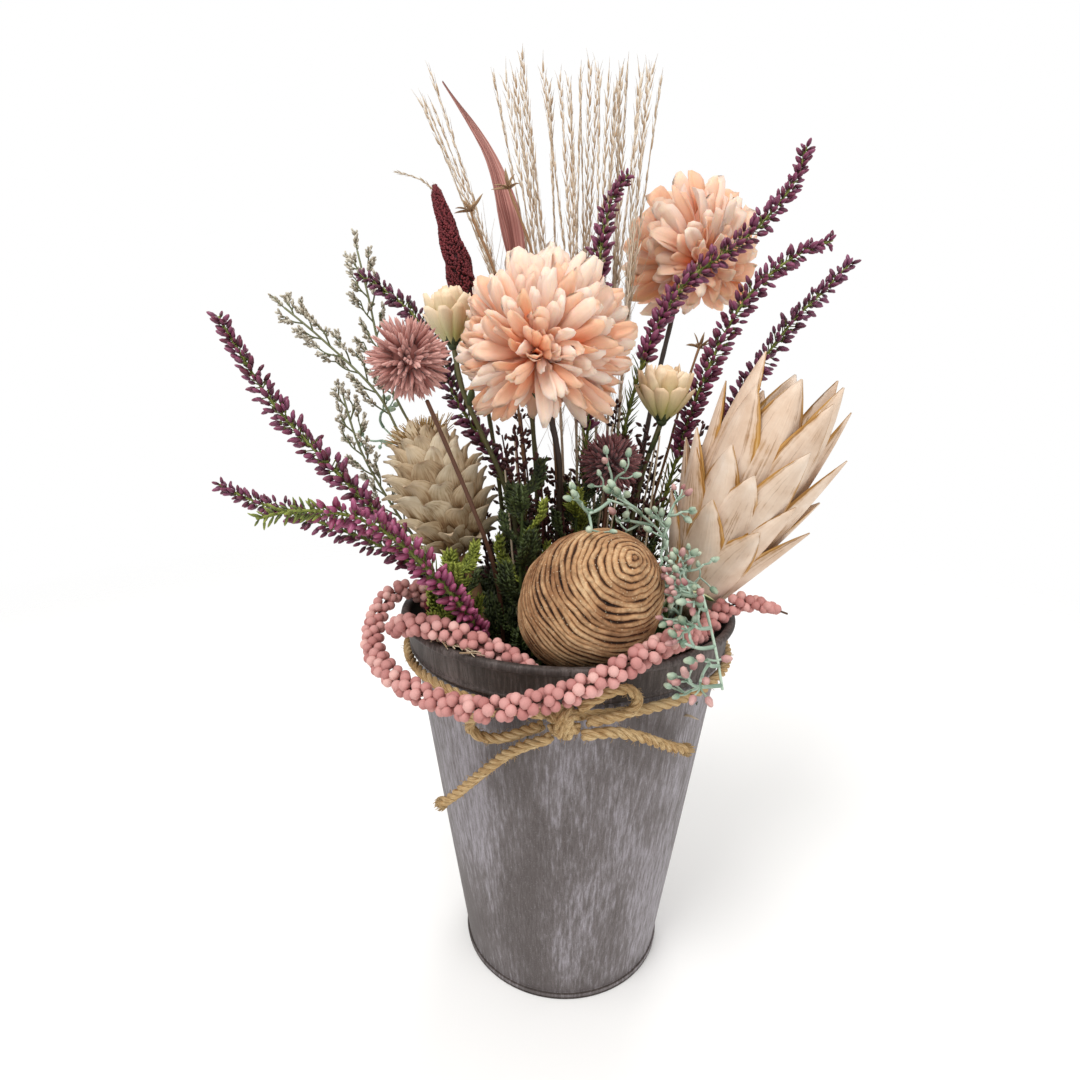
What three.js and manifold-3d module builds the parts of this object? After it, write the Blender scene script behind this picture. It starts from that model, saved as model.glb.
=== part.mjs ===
// Chrysanthemum arrangement in a zinc pot. A tapered sheet-metal pot holds a block of dry floral foam,
// and the foam holds the stems of fabric flowers, dried grasses, heather, a protea, an artichoke head
// and a cedar cone. A bead garland lies over the rim and a jute cord is tied in a bow under the collar.
// Millimetres, +Z up, origin at the centre of the pot's foot on the surface that it stands on.
// The front of the arrangement faces -Y.
import * as THREE from "three";
import { mergeVertices } from "three/addons/utils/BufferGeometryUtils.js";
import Module from "manifold-3d";

// ---- driving dimensions ----
const gap = 0.3; // clearance between touching pieces
const potSides = 32; // facets round the pot
const potHeight = 184.5;
const rimRadius = 80; // outside of the rolled lip
const lipHeight = 4.1;
const collarHeight = 14.5; // from the groove to the top of the lip
const sheet = 0.8; // metal thickness
const footRadius = 49.75; // outside of the wall where it stands in the base seam
const shoulderRadius = 75; // outside of the wall under the collar
const baseThickness = 1.3;
const beadRadius = 51.4; // outside of the seam round the base
const beadHeight = 3.2;
const foamTop = 150;
const plantDepth = 28; // how far the stems go into the foam

const juteRadius = 2.2;
const bandRadius = 77.4; // centre line of the jute band
const bandHeight = 165;
const garlandRadius = 5.2;

const grooveDepth = 0.7; // dark groove pressed in under the collar
const collarStep = 1.5; // how far the collar's foot stands out from the shoulder
const collarFlare = 2.5; // how far the collar stands out below the lip
const bandHalf = 2; // half thickness of the band where it is pressed round the pot
const knotHalf = [7, 4.4, 6.2]; // half sizes of the bow's knot
const garlandRingStep = 11; // spacing of the rings that shape a garland strand
const wireStem = 1.7; // plastic-covered wire stems of the fabric flowers
const driedStem = 1.2;
const thinStem = 0.8;
const stemStep = 22; // between the bends of a stem

const wasm = await Module();
wasm.setup();

const arrangement = new THREE.Group();
arrangement.name = "chrysanthemum_arrangement";

function finish(color, roughness, metalness = 0) {
  return new THREE.MeshStandardMaterial({ color, roughness, metalness });
}

const looks = {
  zinc: finish(0x625c5c, 0.6, 0.75),
  foam: finish(0x6b5a3e, 0.95),
  jute: finish(0xb58e52, 0.9),
  beads: finish(0xd09591, 0.85),
  peachPetals: finish(0xf2b490, 0.8),
  flowerStem: finish(0x3a241c, 0.6),
  budPetals: finish(0xe8d49a, 0.7),
  thistle: finish(0xb56f72, 0.85),
  amaranth: finish(0x4a1420, 0.95),
  driedLeaf: finish(0xc08f84, 0.85),
  twig: finish(0x8a5f45, 0.9),
  grass: finish(0xdccab2, 0.9),
  heather: finish(0x7b2f58, 0.75),
  limonium: finish(0xa9a78c, 0.9),
  artichoke: finish(0xa18e6c, 0.9),
  protea: finish(0xd6bda6, 0.8),
  berries: finish(0x9fc0a6, 0.7),
  cone: finish(0xa5733f, 0.85),
  cypress: finish(0x33482a, 0.85),
};

function add(name, geometry, material) {
  const mesh = new THREE.Mesh(geometry, material);
  mesh.name = name;
  arrangement.add(mesh);
  return mesh;
}

// ---- solids ----

// A closed profile turned round Z. The points are [radius, height].
function turned(profile, sides) {
  const points = profile.map(([radius, height]) => new THREE.Vector2(radius, height));
  return new THREE.LatheGeometry(points, sides).rotateX(Math.PI / 2);
}

function curveThrough(points) {
  return new THREE.CatmullRomCurve3(points.map((p) => new THREE.Vector3(...p)), false, "centripetal");
}

// A turned profile bent along a line of points. The profile is a list of [distance from the start,
// radius], beginning and ending at radius 0. facing is a direction that the line never follows, and
// flat squeezes the section in that direction.
function bent(line, profile, { sides = 6, facing = [0, 1, 0], flat = 1 } = {}) {
  const length = profile[profile.length - 1][0];
  const lathe = new THREE.LatheGeometry(
    profile.map(([distance, radius]) => new THREE.Vector2(radius, distance)),
    sides,
  );
  const reference = new THREE.Vector3(...facing);
  const position = lathe.getAttribute("position");
  for (let i = 0; i < position.count; i++) {
    const along = THREE.MathUtils.clamp(position.getY(i) / length, 0, 1);
    const tangent = line.getTangentAt(along);
    const before = Math.min(0, position.getY(i)); // a start that reaches back past the line's first point
    const centre = line.getPointAt(along).addScaledVector(tangent, before);
    const side = tangent.clone().cross(reference).normalize();
    const front = side.clone().cross(tangent);
    centre.addScaledVector(side, position.getX(i)).addScaledVector(front, position.getZ(i) * flat);
    position.setXYZ(i, centre.x, centre.y, centre.z);
  }
  return lathe;
}

// The outline of a stalk with a head: the stem runs up from its cut end, and head lists
// [distance from the tip, radius] for the flowering part, tip first. grow makes it fatter all round.
function stalkProfile(length, stemRadius, head, grow = 0) {
  const headStart = length - head[head.length - 1][0];
  const steps = Math.max(1, Math.round(headStart / stemStep));
  const profile = [[-grow, 0], [-grow, stemRadius + grow]];
  for (let i = 1; i < steps; i++) profile.push([(headStart * i) / steps, stemRadius + grow]);
  for (const [fromTip, radius] of [...head].reverse()) profile.push([length - fromTip, radius + grow]);
  if (head[0][1] + grow > 0) profile.push([length, 0]);
  return profile;
}

// ---- the pot ----

const wallSlope = (shoulderRadius - footRadius) / (potHeight - collarHeight - 2 - baseThickness - gap);
const wallFoot = baseThickness + gap;
const wallRadius = (height) => footRadius + wallSlope * (height - wallFoot);
const shoulder = potHeight - collarHeight - 2; // where the taper ends
const collarFoot = shoulder + 2;
const lipFoot = potHeight - lipHeight;

add(
  "pot_body",
  turned(
    [
      [footRadius - sheet, wallFoot],
      [footRadius, wallFoot],
      [wallRadius(shoulder), shoulder],
      [wallRadius(shoulder) - grooveDepth, shoulder + 1.2], // dark groove under the collar
      [shoulderRadius + collarStep, collarFoot],
      [shoulderRadius + collarFlare, lipFoot],
      [rimRadius - 1, lipFoot + 0.3],
      [rimRadius, lipFoot + 1.4],
      [rimRadius, potHeight - 1.4],
      [rimRadius - 1.2, potHeight],
      [shoulderRadius + 2, potHeight],
      [shoulderRadius + 1.4, potHeight - 1],
      [shoulderRadius + 0.7, collarFoot + 0.4],
      [wallRadius(shoulder) - grooveDepth - sheet, shoulder + 1.4],
      [wallRadius(shoulder) - sheet, shoulder],
      [footRadius - sheet, wallFoot],
    ],
    potSides,
  ),
  looks.zinc,
);

add(
  "pot_base",
  turned(
    [
      [0, 0],
      [beadRadius - 0.8, 0],
      [beadRadius, 0.8],
      [beadRadius, beadHeight - 0.6],
      [beadRadius - 0.5, beadHeight],
      [beadRadius - 1.1, beadHeight],
      [beadRadius - 1.1, baseThickness],
      [0, baseThickness],
    ],
    potSides,
  ),
  looks.zinc,
);

// ---- the jute cord: a band round the pot, a knot, two loops and two loose ends ----

const bandSides = 6;
const bandProfile = [];
for (let i = 0; i <= bandSides; i++) {
  const turn = ((i % bandSides) / bandSides) * 2 * Math.PI;
  bandProfile.push([bandRadius + bandHalf * Math.cos(turn), bandHeight + bandHalf * Math.sin(turn)]);
}
add("jute_band", turned(bandProfile, potSides), looks.jute);

const knot = new THREE.SphereGeometry(1, 12, 8).scale(...knotHalf);
add("jute_knot", knot, looks.jute).position.set(0, -84.2, 165);

// A round cord of constant thickness along a line of points.
function cord(points, radius, steps) {
  const section = new THREE.Shape().absarc(0, 0, radius, 0, 2 * Math.PI);
  return new THREE.ExtrudeGeometry(section, {
    steps,
    curveSegments: 4,
    extrudePath: curveThrough(points),
  });
}

const juteRoutes = {
  jute_loop_left: [
    [-7.9, -84, 167.8], [-13, -83, 168.2], [-22, -80, 167.2], [-31, -76, 163.5], [-37.2, -71.8, 158],
    [-37.8, -70, 153.6], [-34.5, -70.6, 150.8], [-29, -72.4, 150.6], [-22, -74.8, 153],
    [-14.5, -77.6, 157.6], [-8.6, -81.4, 161.8],
  ],
  jute_loop_right: [
    [5.6, -84.4, 170.9], [10.2, -83.6, 174], [17, -82.2, 177], [23.4, -80.2, 177.2],
    [27.4, -78.4, 173], [26, -78.6, 168.4], [19.4, -81, 166.4], [13, -83.4, 166], [8.6, -84.6, 166],
  ],
  jute_tail_left: [
    [-5, -86, 159.6], [-9.5, -84.6, 157], [-15, -82, 153.5], [-22, -77.6, 147], [-29, -72.6, 138.5],
    [-38.5, -65.4, 126], [-46.5, -59.6, 115.5], [-53.5, -54.6, 107.5],
  ],
  jute_tail_right: [
    [6.9, -86, 160.8], [12, -84.6, 161], [19, -81.8, 160.2], [28, -77.4, 156.4], [37, -70.6, 150],
    [45, -63.6, 143.8], [51.5, -57.6, 139.6],
  ],
};
for (const [name, points] of Object.entries(juteRoutes)) {
  add(name, cord(points, juteRadius, 2 * points.length), looks.jute);
}

// ---- the bead garland: two strands of small beads bunched round a wire ----

function garland(name, points, tipLength) {
  const line = curveThrough(points);
  const length = line.getLength();
  const steps = Math.round(length / garlandRingStep);
  const profile = [[0, 0], [0.3, garlandRadius - 1]];
  for (let i = 1; i < steps; i++) {
    const along = (length * i) / steps;
    const taper = Math.min(1, 0.35 + (0.65 * (length - along)) / tipLength);
    profile.push([along, garlandRadius * taper]);
  }
  profile.push([length - 0.3, garlandRadius * 0.35], [length, 0]);
  add(name, bent(line, profile, { sides: 7, facing: [0, 0, 1] }), looks.beads);
}

garland(
  "garland_front",
  [
    [-62, -3, 174], [-69, -4, 186], [-78, -8, 192], [-84, -15, 189.5], [-86.5, -24, 185],
    [-86.5, -34, 180], [-83, -46, 175], [-73.5, -59, 172], [-61, -71, 170.5], [-48, -80, 170], [-35, -87, 171],
    [-24, -90.5, 173], [-13, -91.5, 176], [-2, -91, 179], [9, -89, 183], [20, -86, 188],
    [30, -80, 191.5], [38, -71, 192], [45, -60, 190], [52, -48, 186.5], [59, -36, 184.5],
    [66, -27, 187], [73, -23, 192], [81, -22, 193], [89, -23.5, 192], [98, -28, 190],
  ],
  22,
);
garland(
  "garland_inner",
  [
    [-76, -39, 182.5], [-69, -49, 188.4], [-60, -56, 191.4], [-51, -60, 191.5], [-42, -61.5, 189.5],
    [-33, -63, 186], [-24, -65, 183], [-14, -67, 179], [-6, -68, 175.5],
  ],
  16,
);

// ---- the stems: each grows up from its cut end in the foam ----

const stemHoles = [];

// Adds a stalk that stands in the foam and notes the hole that it needs there.
function plant(name, material, { points, stem, head = [[0, stem]], ...shape }) {
  const line = curveThrough(points);
  const length = line.getLength();
  add(name, bent(line, stalkProfile(length, stem, head), shape), material);
  const clearance = gap / (shape.flat ?? 1);
  stemHoles.push(bent(line, stalkProfile(length, stem, head, clearance), shape));
}

const foot = (x, y) => [x, y, foamTop - plantDepth];

// Fabric chrysanthemums: a domed head of many petals on a covered wire.
function chrysanthemum(name, { centre, radius, base, via, tilt }) {
  const dome = [
    [0, -0.62], [0.4, -0.72], [0.78, -0.8], [0.96, -0.42], [1, 0], [0.92, 0.4],
    [0.7, 0.7], [0.36, 0.86], [0, 0.9],
  ].map(([across, up]) => [across * radius, up * radius]);
  const head = add(`${name}_head`, turned(dome, 14), looks.peachPetals);
  head.position.set(...centre);
  head.rotation.set(...tilt);
  const under = new THREE.Vector3(0, 0, -0.62 * radius - 1).applyEuler(head.rotation).add(head.position);
  plant(`${name}_stem`, looks.flowerStem, {
    points: [base, ...via, under.toArray()],
    stem: wireStem,
    head: [[0, wireStem], [2, wireStem]],
  });
}

chrysanthemum("chrysanthemum_front", {
  centre: [-11, -22, 307],
  radius: 37,
  base: foot(-8, -6),
  via: [[-7, -6, 190], [-4, -11, 235], [-6, -18, 265]],
  tilt: [0.12, 0, 0],
});
chrysanthemum("chrysanthemum_back", {
  centre: [61, 65, 357],
  radius: 34,
  base: foot(30, 36),
  via: [[33, 42, 200], [43, 53, 275]],
  tilt: [0.05, 0.22, 0],
});

// Chrysanthemum buds with their sepals.
const budHead = [[0, 0], [1.5, 4], [6, 7.6], [12, 8.2], [17, 6], [20, 4.4], [24, 3.6], [28, wireStem]];
plant("bud_left", looks.budPetals, {
  points: [foot(-20, -2), [-24, -2, 215], [-33, -2, 249], [-48, -2, 281], [-54, 3, 306], [-56, 6, 333]],
  stem: wireStem,
  head: budHead,
  sides: 8,
});
plant("bud_right", looks.budPetals, {
  points: [foot(26, -4), [29, 0, 215], [36, 4, 252], [43, 5, 274], [45, 5, 300]],
  stem: wireStem,
  head: budHead,
  sides: 8,
});

// Thistle balls of soft spikes.
function thistle(name, { centre, radius, base, via }) {
  add(`${name}_head`, new THREE.IcosahedronGeometry(radius, 2), looks.thistle).position.set(...centre);
  const middle = new THREE.Vector3(...centre);
  const below = new THREE.Vector3(...via[via.length - 1]).sub(middle).setLength(radius + 1).add(middle);
  plant(`${name}_stem`, looks.flowerStem, {
    points: [base, ...via, below.toArray()],
    stem: 1.3,
    head: [[0, 1.3], [2, 1.3]],
  });
}
thistle("thistle_left", {
  centre: [-62, -50, 297],
  radius: 16,
  base: foot(-28, -18),
  via: [[-31, -26, 200], [-37, -33, 226], [-48, -40, 258]],
});
thistle("thistle_right", {
  centre: [19, -5, 253],
  radius: 14.5,
  base: foot(14, -8),
  via: [[14, -8, 180], [16, -7, 215]],
});

// Amaranth: dark granular spikes.
plant("amaranth_tall", looks.amaranth, {
  points: [foot(-28, 30), [-36, 30, 235], [-44, 27, 290], [-51, 21, 330], [-64, 20, 376]],
  stem: driedStem,
  head: [[0, 0], [3, 2.4], [18, 4.6], [36, 7], [48, 7.2], [56, driedStem]],
  sides: 8,
});
plant("amaranth_low", looks.amaranth, {
  points: [foot(-54, -12), [-59, -15, 165], [-63, -19, 192]],
  stem: driedStem,
  head: [[0, 0], [3, 4], [14, 5], [28, 4], [34, driedStem]],
  sides: 8,
});

// A long dried leaf, folded lengthways.
plant("folded_leaf", looks.driedLeaf, {
  points: [foot(-14, 24), [-17, 22, 250], [-22, 25, 300], [-27, 26, 341], [-33, 30, 377], [-44, 33, 399],
    [-62, 35, 424]],
  stem: driedStem,
  head: [[0, 0], [4, 2], [40, 3.6], [80, 4.4], [150, 3.6], [190, driedStem]],
  flat: 0.35,
});

// Dried twigs that end in a small umbel.
const umbel = [[0, 0], [1, 2.6], [4, 2.6], [7, thinStem]];
const twigs = {
  umbel_twig_left: [foot(-22, 18), [-22, 18, 240], [-29, 20, 300], [-36, 18, 338], [-45, 19, 356],
    [-48, 20, 369]],
  umbel_twig_middle: [foot(-4, 14), [-6, 16, 240], [-11, 21, 300], [-17, 18, 341], [-27, 18, 367],
    [-31, 18, 378]],
  umbel_twig_right: [foot(32, 22), [38, 24, 205], [50, 22, 262], [56, 18, 291], [61, 18, 308]],
};
for (const [name, points] of Object.entries(twigs)) {
  plant(name, looks.twig, { points, stem: thinStem, head: umbel });
}

// Dried grass plumes: [foot x, foot y, tip x, tip y, tip z], spread like a fan from the foam.
const plumes = [
  [-8, 42, -70, 46, 432], [-2, 28, -37, 34, 430], [0, 38, -24, 44, 436], [6, 22, -9, 36, 434],
  [8, 34, 3, 46, 440], [13, 26, 14, 36, 436], [18, 36, 25, 34, 433], [22, 26, 33, 26, 428],
];
plumes.forEach(([fx, fy, tx, ty, tz], i) => {
  const at = (share, z) => [fx + (tx - fx) * share, fy + (ty - fy) * share, z];
  plant(`grass_plume_${i + 1}`, looks.grass, {
    points: [foot(fx, fy), at(0.06, 200), at(0.2, 270), at(0.5, 345), [tx, ty, tz]],
    stem: thinStem,
    head: [[0, 0], [4, 1.2], [40, 2.2], [110, 2.2], [150, thinStem]],
  });
});

// Heather sprays: a woody stem set with buds.
const sprayHead = [[0, 0], [3, 2.4], [14, 4], [40, 5.4], [80, 5.4], [112, 3.4], [124, driedStem]];
const sprays = {
  heather_left_high: [foot(-50, -18), [-54, -24, 185], [-61, -33, 211], [-78, -35, 230], [-102, -31, 253],
    [-127, -28, 280], [-146, -30, 315]],
  heather_left_low: [foot(-56, 10), [-62, 9, 176], [-71, 5, 196], [-88, -8, 212], [-114, -18, 226],
    [-138, -22, 234], [-156, -25, 244]],
  heather_front: [foot(-32, -38), [-35, -47, 178], [-41, -57, 201], [-55, -62, 216], [-70, -72, 235],
    [-84, -84, 245], [-106, -95, 243]],
  heather_upper_left: [foot(-16, 12), [-20, 13, 200], [-28, 14, 235], [-43, 14, 262], [-57, 13, 284],
    [-70, 13, 314], [-84, 14, 328], [-101, 14, 338]],
  heather_top: [foot(6, 10), [8, 14, 250], [10, 19, 300], [12, 17, 339], [14, 20, 364], [25, 21, 382]],
  heather_right_high: [foot(20, 12), [22, 14, 205], [24, 15, 250], [28, 12, 277], [35, 10, 304],
    [43, 15, 324], [59, 20, 340], [80, 20, 355], [96, 17, 373], [101, 15, 391]],
  heather_right_middle: [foot(36, 10), [42, 12, 210], [52, 12, 255], [57, 10, 275], [65, 8, 301],
    [78, 5, 327], [92, 0, 341], [111, -2, 349]],
  heather_right_low: [foot(44, 26), [60, 34, 210], [79, 34, 262], [87, 26, 294], [97, 20, 310],
    [113, 18, 328], [127, 18, 344]],
};
for (const [name, points] of Object.entries(sprays)) {
  plant(name, looks.heather, { points, stem: driedStem, head: sprayHead });
}

// Statice (limonium): branched sprays of tiny dry florets.
const floretHead = [[0, 0], [3, 2], [30, 3.6], [66, 3.4], [84, thinStem]];
const statice = {
  statice_tall: [foot(-42, 33), [-58, 28, 200], [-72, 26, 250], [-90, 22, 289], [-99, 26, 328],
    [-106, 30, 357]],
  statice_long: [foot(-54, 24), [-66, 18, 210], [-82, 14, 259], [-92, 14, 281], [-115, 16, 304],
    [-143, 18, 327]],
  statice_short: [foot(-60, 18), [-70, 17, 195], [-77, 14, 210], [-87, 11, 227], [-99, 6, 252],
    [-108, 4, 286]],
};
for (const [name, points] of Object.entries(statice)) {
  plant(name, looks.limonium, { points, stem: thinStem, head: floretHead });
}

// Cypress sprays that fill the middle.
const cypressHead = [[0, 0], [3, 3], [18, 5], [40, 5.2], [58, driedStem]];
const cypress = {
  cypress_left: [foot(-46, -30), [-49, -37, 185], [-46, -42, 214]],
  cypress_middle: [foot(-20, -24), [-21, -25, 190], [-20, -24, 246]],
  cypress_right: [foot(3, -2), [3, -4, 190], [4, -8, 240]],
};
for (const [name, points] of Object.entries(cypress)) {
  plant(name, looks.cypress, { points, stem: driedStem, head: cypressHead });
}

// Berry sprays of fine mint-green twigs.
const berryHead = [[0, 0], [2, 2], [16, 3], [34, 2.6], [44, thinStem]];
const berrySprays = {
  berry_spray_front: [foot(46, -20), [46, -25, 198], [36, -38, 232], [12, -42, 244]],
  berry_spray_low: [foot(48, -27), [50, -33, 195], [51, -56, 213], [56, -79, 190], [58, -86, 176]],
  berry_spray_right: [foot(58, 12), [72, 23, 195], [95, 25, 225], [112, 20, 250]],
  berry_spray_left: [foot(-44, 42), [-66, 38, 215], [-84, 36, 250], [-102, 36, 270]],
};
for (const [name, points] of Object.entries(berrySprays)) {
  plant(name, looks.berries, { points, stem: thinStem, head: berryHead });
}

plant("grass_blade", looks.cypress, {
  points: [foot(42, -12), [45, -13, 178], [50, -18, 193], [59, -22, 196], [67, -21, 193]],
  stem: thinStem,
  head: [[0, 0], [10, 2], [22, 2.6], [38, thinStem]],
  facing: [1, 0, 0],
  flat: 0.4,
});

// Dried heads on woody stems.
function driedHead(name, material, { from, to, profile, sides, stem, base, via }) {
  const line = curveThrough([from, to]);
  const scale = line.getLength() / profile[profile.length - 1][0];
  add(`${name}_head`, bent(line, profile.map(([d, r]) => [d * scale, r]), { sides }), material);
  const start = new THREE.Vector3(...from);
  const end = start.clone().add(start.clone().sub(new THREE.Vector3(...to)).setLength(1));
  plant(`${name}_stem`, looks.twig, { points: [base, ...via, end.toArray()], stem });
}

driedHead("artichoke", looks.artichoke, {
  from: [-50, -3, 208],
  to: [-71, 2, 266],
  profile: [[0, 0], [0.5, 5], [5, 12], [14, 17.5], [30, 19.5], [46, 15.5], [57, 10], [58, 0]],
  sides: 12,
  stem: 2.2,
  base: foot(-36, -8),
  via: [[-40, -6, 175]],
});
driedHead("protea", looks.protea, {
  from: [57, -4, 182],
  to: [97, -15, 292],
  profile: [[0, 0], [0.5, 6], [10, 11], [30, 20], [60, 26], [92, 22], [112, 15], [114, 0]],
  sides: 12,
  stem: 3.2,
  base: foot(48, -5),
  via: [[52, -5, 165]],
});

// The cedar cone lies tipped over the front of the rim, on a wooden pick.
const coneBase = [-5, -22, 175];
const coneApex = [25, -74, 227];
const coneProfile = [
  [0, 0], [1.5, 9], [7, 17], [18, 24.5], [34, 28.2], [50, 26.8], [64, 20.5], [74, 11], [79.4, 0],
];
const coneLine = curveThrough([coneBase, coneApex]);
add("cedar_cone", bent(coneLine, coneProfile, { sides: 16, facing: [1, 0, 0] }), looks.cone);
plant("cone_pick", looks.twig, {
  points: [foot(-3, -16), [-4, -18, 160], [-5.4, -20.8, 173.4]],
  stem: 1.5,
});

// ---- the dry foam, with a hole for every stem ----

function solid(geometry) {
  const shape = geometry.clone();
  shape.deleteAttribute("normal");
  shape.deleteAttribute("uv");
  const merged = mergeVertices(shape, 1e-3);
  return new wasm.Manifold(
    new wasm.Mesh({
      numProp: 3,
      vertProperties: new Float32Array(merged.getAttribute("position").array),
      triVerts: new Uint32Array(merged.getIndex().array),
    }),
  );
}

const foamFoot = baseThickness + 2 * gap;
const foamSide = sheet + 0.6; // clear of the wall's inner face
let foam = solid(
  turned(
    [
      [0, foamFoot],
      [wallRadius(foamFoot) - foamSide, foamFoot],
      [wallRadius(foamTop) - foamSide, foamTop],
      [0, foamTop],
    ],
    potSides,
  ),
);
for (const hole of stemHoles) foam = foam.subtract(solid(hole));

const cut = foam.getMesh();
const foamGeometry = new THREE.BufferGeometry();
foamGeometry.setAttribute("position", new THREE.BufferAttribute(new Float32Array(cut.vertProperties), 3));
foamGeometry.setIndex(new THREE.BufferAttribute(new Uint32Array(cut.triVerts), 1));
foamGeometry.computeVertexNormals();
add("floral_foam", foamGeometry, looks.foam);

export default arrangement;
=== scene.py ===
import math
import random

import bpy
import numpy as np
from mathutils import Matrix, Vector


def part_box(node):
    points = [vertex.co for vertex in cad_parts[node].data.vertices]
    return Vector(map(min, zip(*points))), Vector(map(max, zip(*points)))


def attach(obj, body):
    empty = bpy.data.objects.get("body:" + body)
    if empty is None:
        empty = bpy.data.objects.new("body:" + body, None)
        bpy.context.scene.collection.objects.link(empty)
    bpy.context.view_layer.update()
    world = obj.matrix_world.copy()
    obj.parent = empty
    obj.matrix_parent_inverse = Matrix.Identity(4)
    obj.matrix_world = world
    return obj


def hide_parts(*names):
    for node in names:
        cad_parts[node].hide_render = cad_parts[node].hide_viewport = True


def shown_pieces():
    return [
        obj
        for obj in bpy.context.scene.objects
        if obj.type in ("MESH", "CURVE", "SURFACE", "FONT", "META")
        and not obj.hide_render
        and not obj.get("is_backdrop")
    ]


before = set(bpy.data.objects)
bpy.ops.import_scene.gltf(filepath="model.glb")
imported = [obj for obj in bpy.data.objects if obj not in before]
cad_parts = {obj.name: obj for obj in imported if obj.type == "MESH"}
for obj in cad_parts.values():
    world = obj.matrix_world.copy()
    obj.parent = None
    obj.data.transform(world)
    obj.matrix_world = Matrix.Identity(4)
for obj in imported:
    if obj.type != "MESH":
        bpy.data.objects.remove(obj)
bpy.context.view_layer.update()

mm = 0.001
goldenAngle = math.pi * (3 - math.sqrt(5))


# Small helpers for points and directions, all in metres

def unit(v):
    v = np.asarray(v, float)
    return v / max(np.linalg.norm(v), 1e-12)


def axes(way, up=(0, 0, 1), roll=0.0):
    # rows are side, face and way, so local points @ axes lie along way
    way = unit(way)
    side = np.cross(np.asarray(up, float), way)
    if np.linalg.norm(side) < 1e-3:
        side = np.cross((0, 1, 0), way)
    side = unit(side)
    face = np.cross(way, side)
    turned = side * math.cos(roll) + face * math.sin(roll)
    return np.array([turned, np.cross(way, turned), way])


def outward(way, turn):
    # the direction that leaves a line's frame at this turn
    return way[0] * math.cos(turn) + way[1] * math.sin(turn)


def scatter(rng, size):
    return np.array([rng.gauss(0, size) for k in range(3)])


def smooth(points, steps):
    # centripetal Catmull-Rom through the points
    p = [np.asarray(q, float) for q in points]
    p = [2 * p[0] - p[1]] + p + [2 * p[-1] - p[-2]]
    out = []
    for i in range(1, len(p) - 2):
        a, b, c, d = p[i - 1:i + 3]
        t1 = max(np.linalg.norm(b - a), 1e-9) ** 0.5
        t2 = t1 + max(np.linalg.norm(c - b), 1e-9) ** 0.5
        t3 = t2 + max(np.linalg.norm(d - c), 1e-9) ** 0.5
        for k in range(steps):
            t = t1 + (t2 - t1) * k / steps
            ab = (t1 - t) / t1 * a + t / t1 * b
            bc = (t2 - t) / (t2 - t1) * b + (t - t1) / (t2 - t1) * c
            cd = (t3 - t) / (t3 - t2) * c + (t - t2) / (t3 - t2) * d
            abc = (t2 - t) / t2 * ab + t / t2 * bc
            bcd = (t3 - t) / (t3 - t1) * bc + (t - t1) / (t3 - t1) * cd
            out.append((t2 - t) / (t2 - t1) * abc + (t - t1) / (t2 - t1) * bcd)
    out.append(p[-2])
    return np.array(out)


class Line:
    # a smooth line with a thickness, read by its share from 0 to 1

    def __init__(self, points, radii=None):
        self.points = np.asarray(points, float)
        steps = np.linalg.norm(np.diff(self.points, axis=0), axis=1)
        self.marks = np.concatenate([[0], np.cumsum(steps)])
        self.length = self.marks[-1]
        self.radii = np.full(len(self.points), 0.001) if radii is None else np.asarray(radii, float)

    def at(self, share):
        d = share * self.length
        return np.array([np.interp(d, self.marks, self.points[:, k]) for k in range(3)])

    def girth(self, share):
        return float(np.interp(share * self.length, self.marks, self.radii))

    def way(self, share):
        e = 0.012
        return unit(self.at(min(1, share + e)) - self.at(max(0, share - e)))

    def part(self, low, high, count):
        return np.array([self.at(s) for s in np.linspace(low, high, count)])


def spineOf(node, steps=6):
    # the bent CAD solids go from one pole, ring by ring, to another: their ring centres are the spine
    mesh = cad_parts[node].data
    spots, ids, keys = [], [], {}
    for v in mesh.vertices:
        key = tuple(round(c * 1e5) for c in v.co)
        if key not in keys:
            keys[key] = len(spots)
            spots.append(tuple(v.co))
        ids.append(keys[key])
    near = [set() for spot in spots]
    for e in mesh.edges:
        a, b = (ids[i] for i in e.vertices)
        if a != b:
            near[a].add(b)
            near[b].add(a)
    for start in sorted(range(len(spots)), key=lambda i: spots[i][2]):
        seen, layers = {start}, [[start]]
        while True:
            ring = sorted({j for i in layers[-1] for j in near[i]} - seen)
            if not ring:
                break
            seen.update(ring)
            layers.append(ring)
        sides = len(near[start])
        if len(layers[-1]) == 1 and all(len(ring) == sides for ring in layers[1:-1]):
            break
    points = np.array(spots)
    centres = np.array([points[ring].mean(0) for ring in layers])
    radii = np.array([np.linalg.norm(points[ring] - c, axis=1).mean() for ring, c in zip(layers, centres)])
    keep = [0] + [i for i in range(1, len(centres)) if np.linalg.norm(centres[i] - centres[i - 1]) > 0.4 * mm]
    fine = smooth(centres[keep], steps)
    spread = np.interp(np.linspace(0, len(keep) - 1, len(fine)), range(len(keep)), radii[keep])
    return Line(fine, spread)


def headStart(line, stem):
    # the share of a stalk at which its head begins
    for i, r in enumerate(line.radii):
        if i > 1 and r > stem:
            return line.marks[max(i - 1, 0)] / line.length
    return 0.5


# Shapes: each returns its points, its faces, and how far along and across each point lies

def fan(first, ring, out):
    pairs = list(zip(ring, list(ring[1:]) + [ring[0]]))
    return [(first, b, a) if out else (first, a, b) for a, b in pairs]


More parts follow.
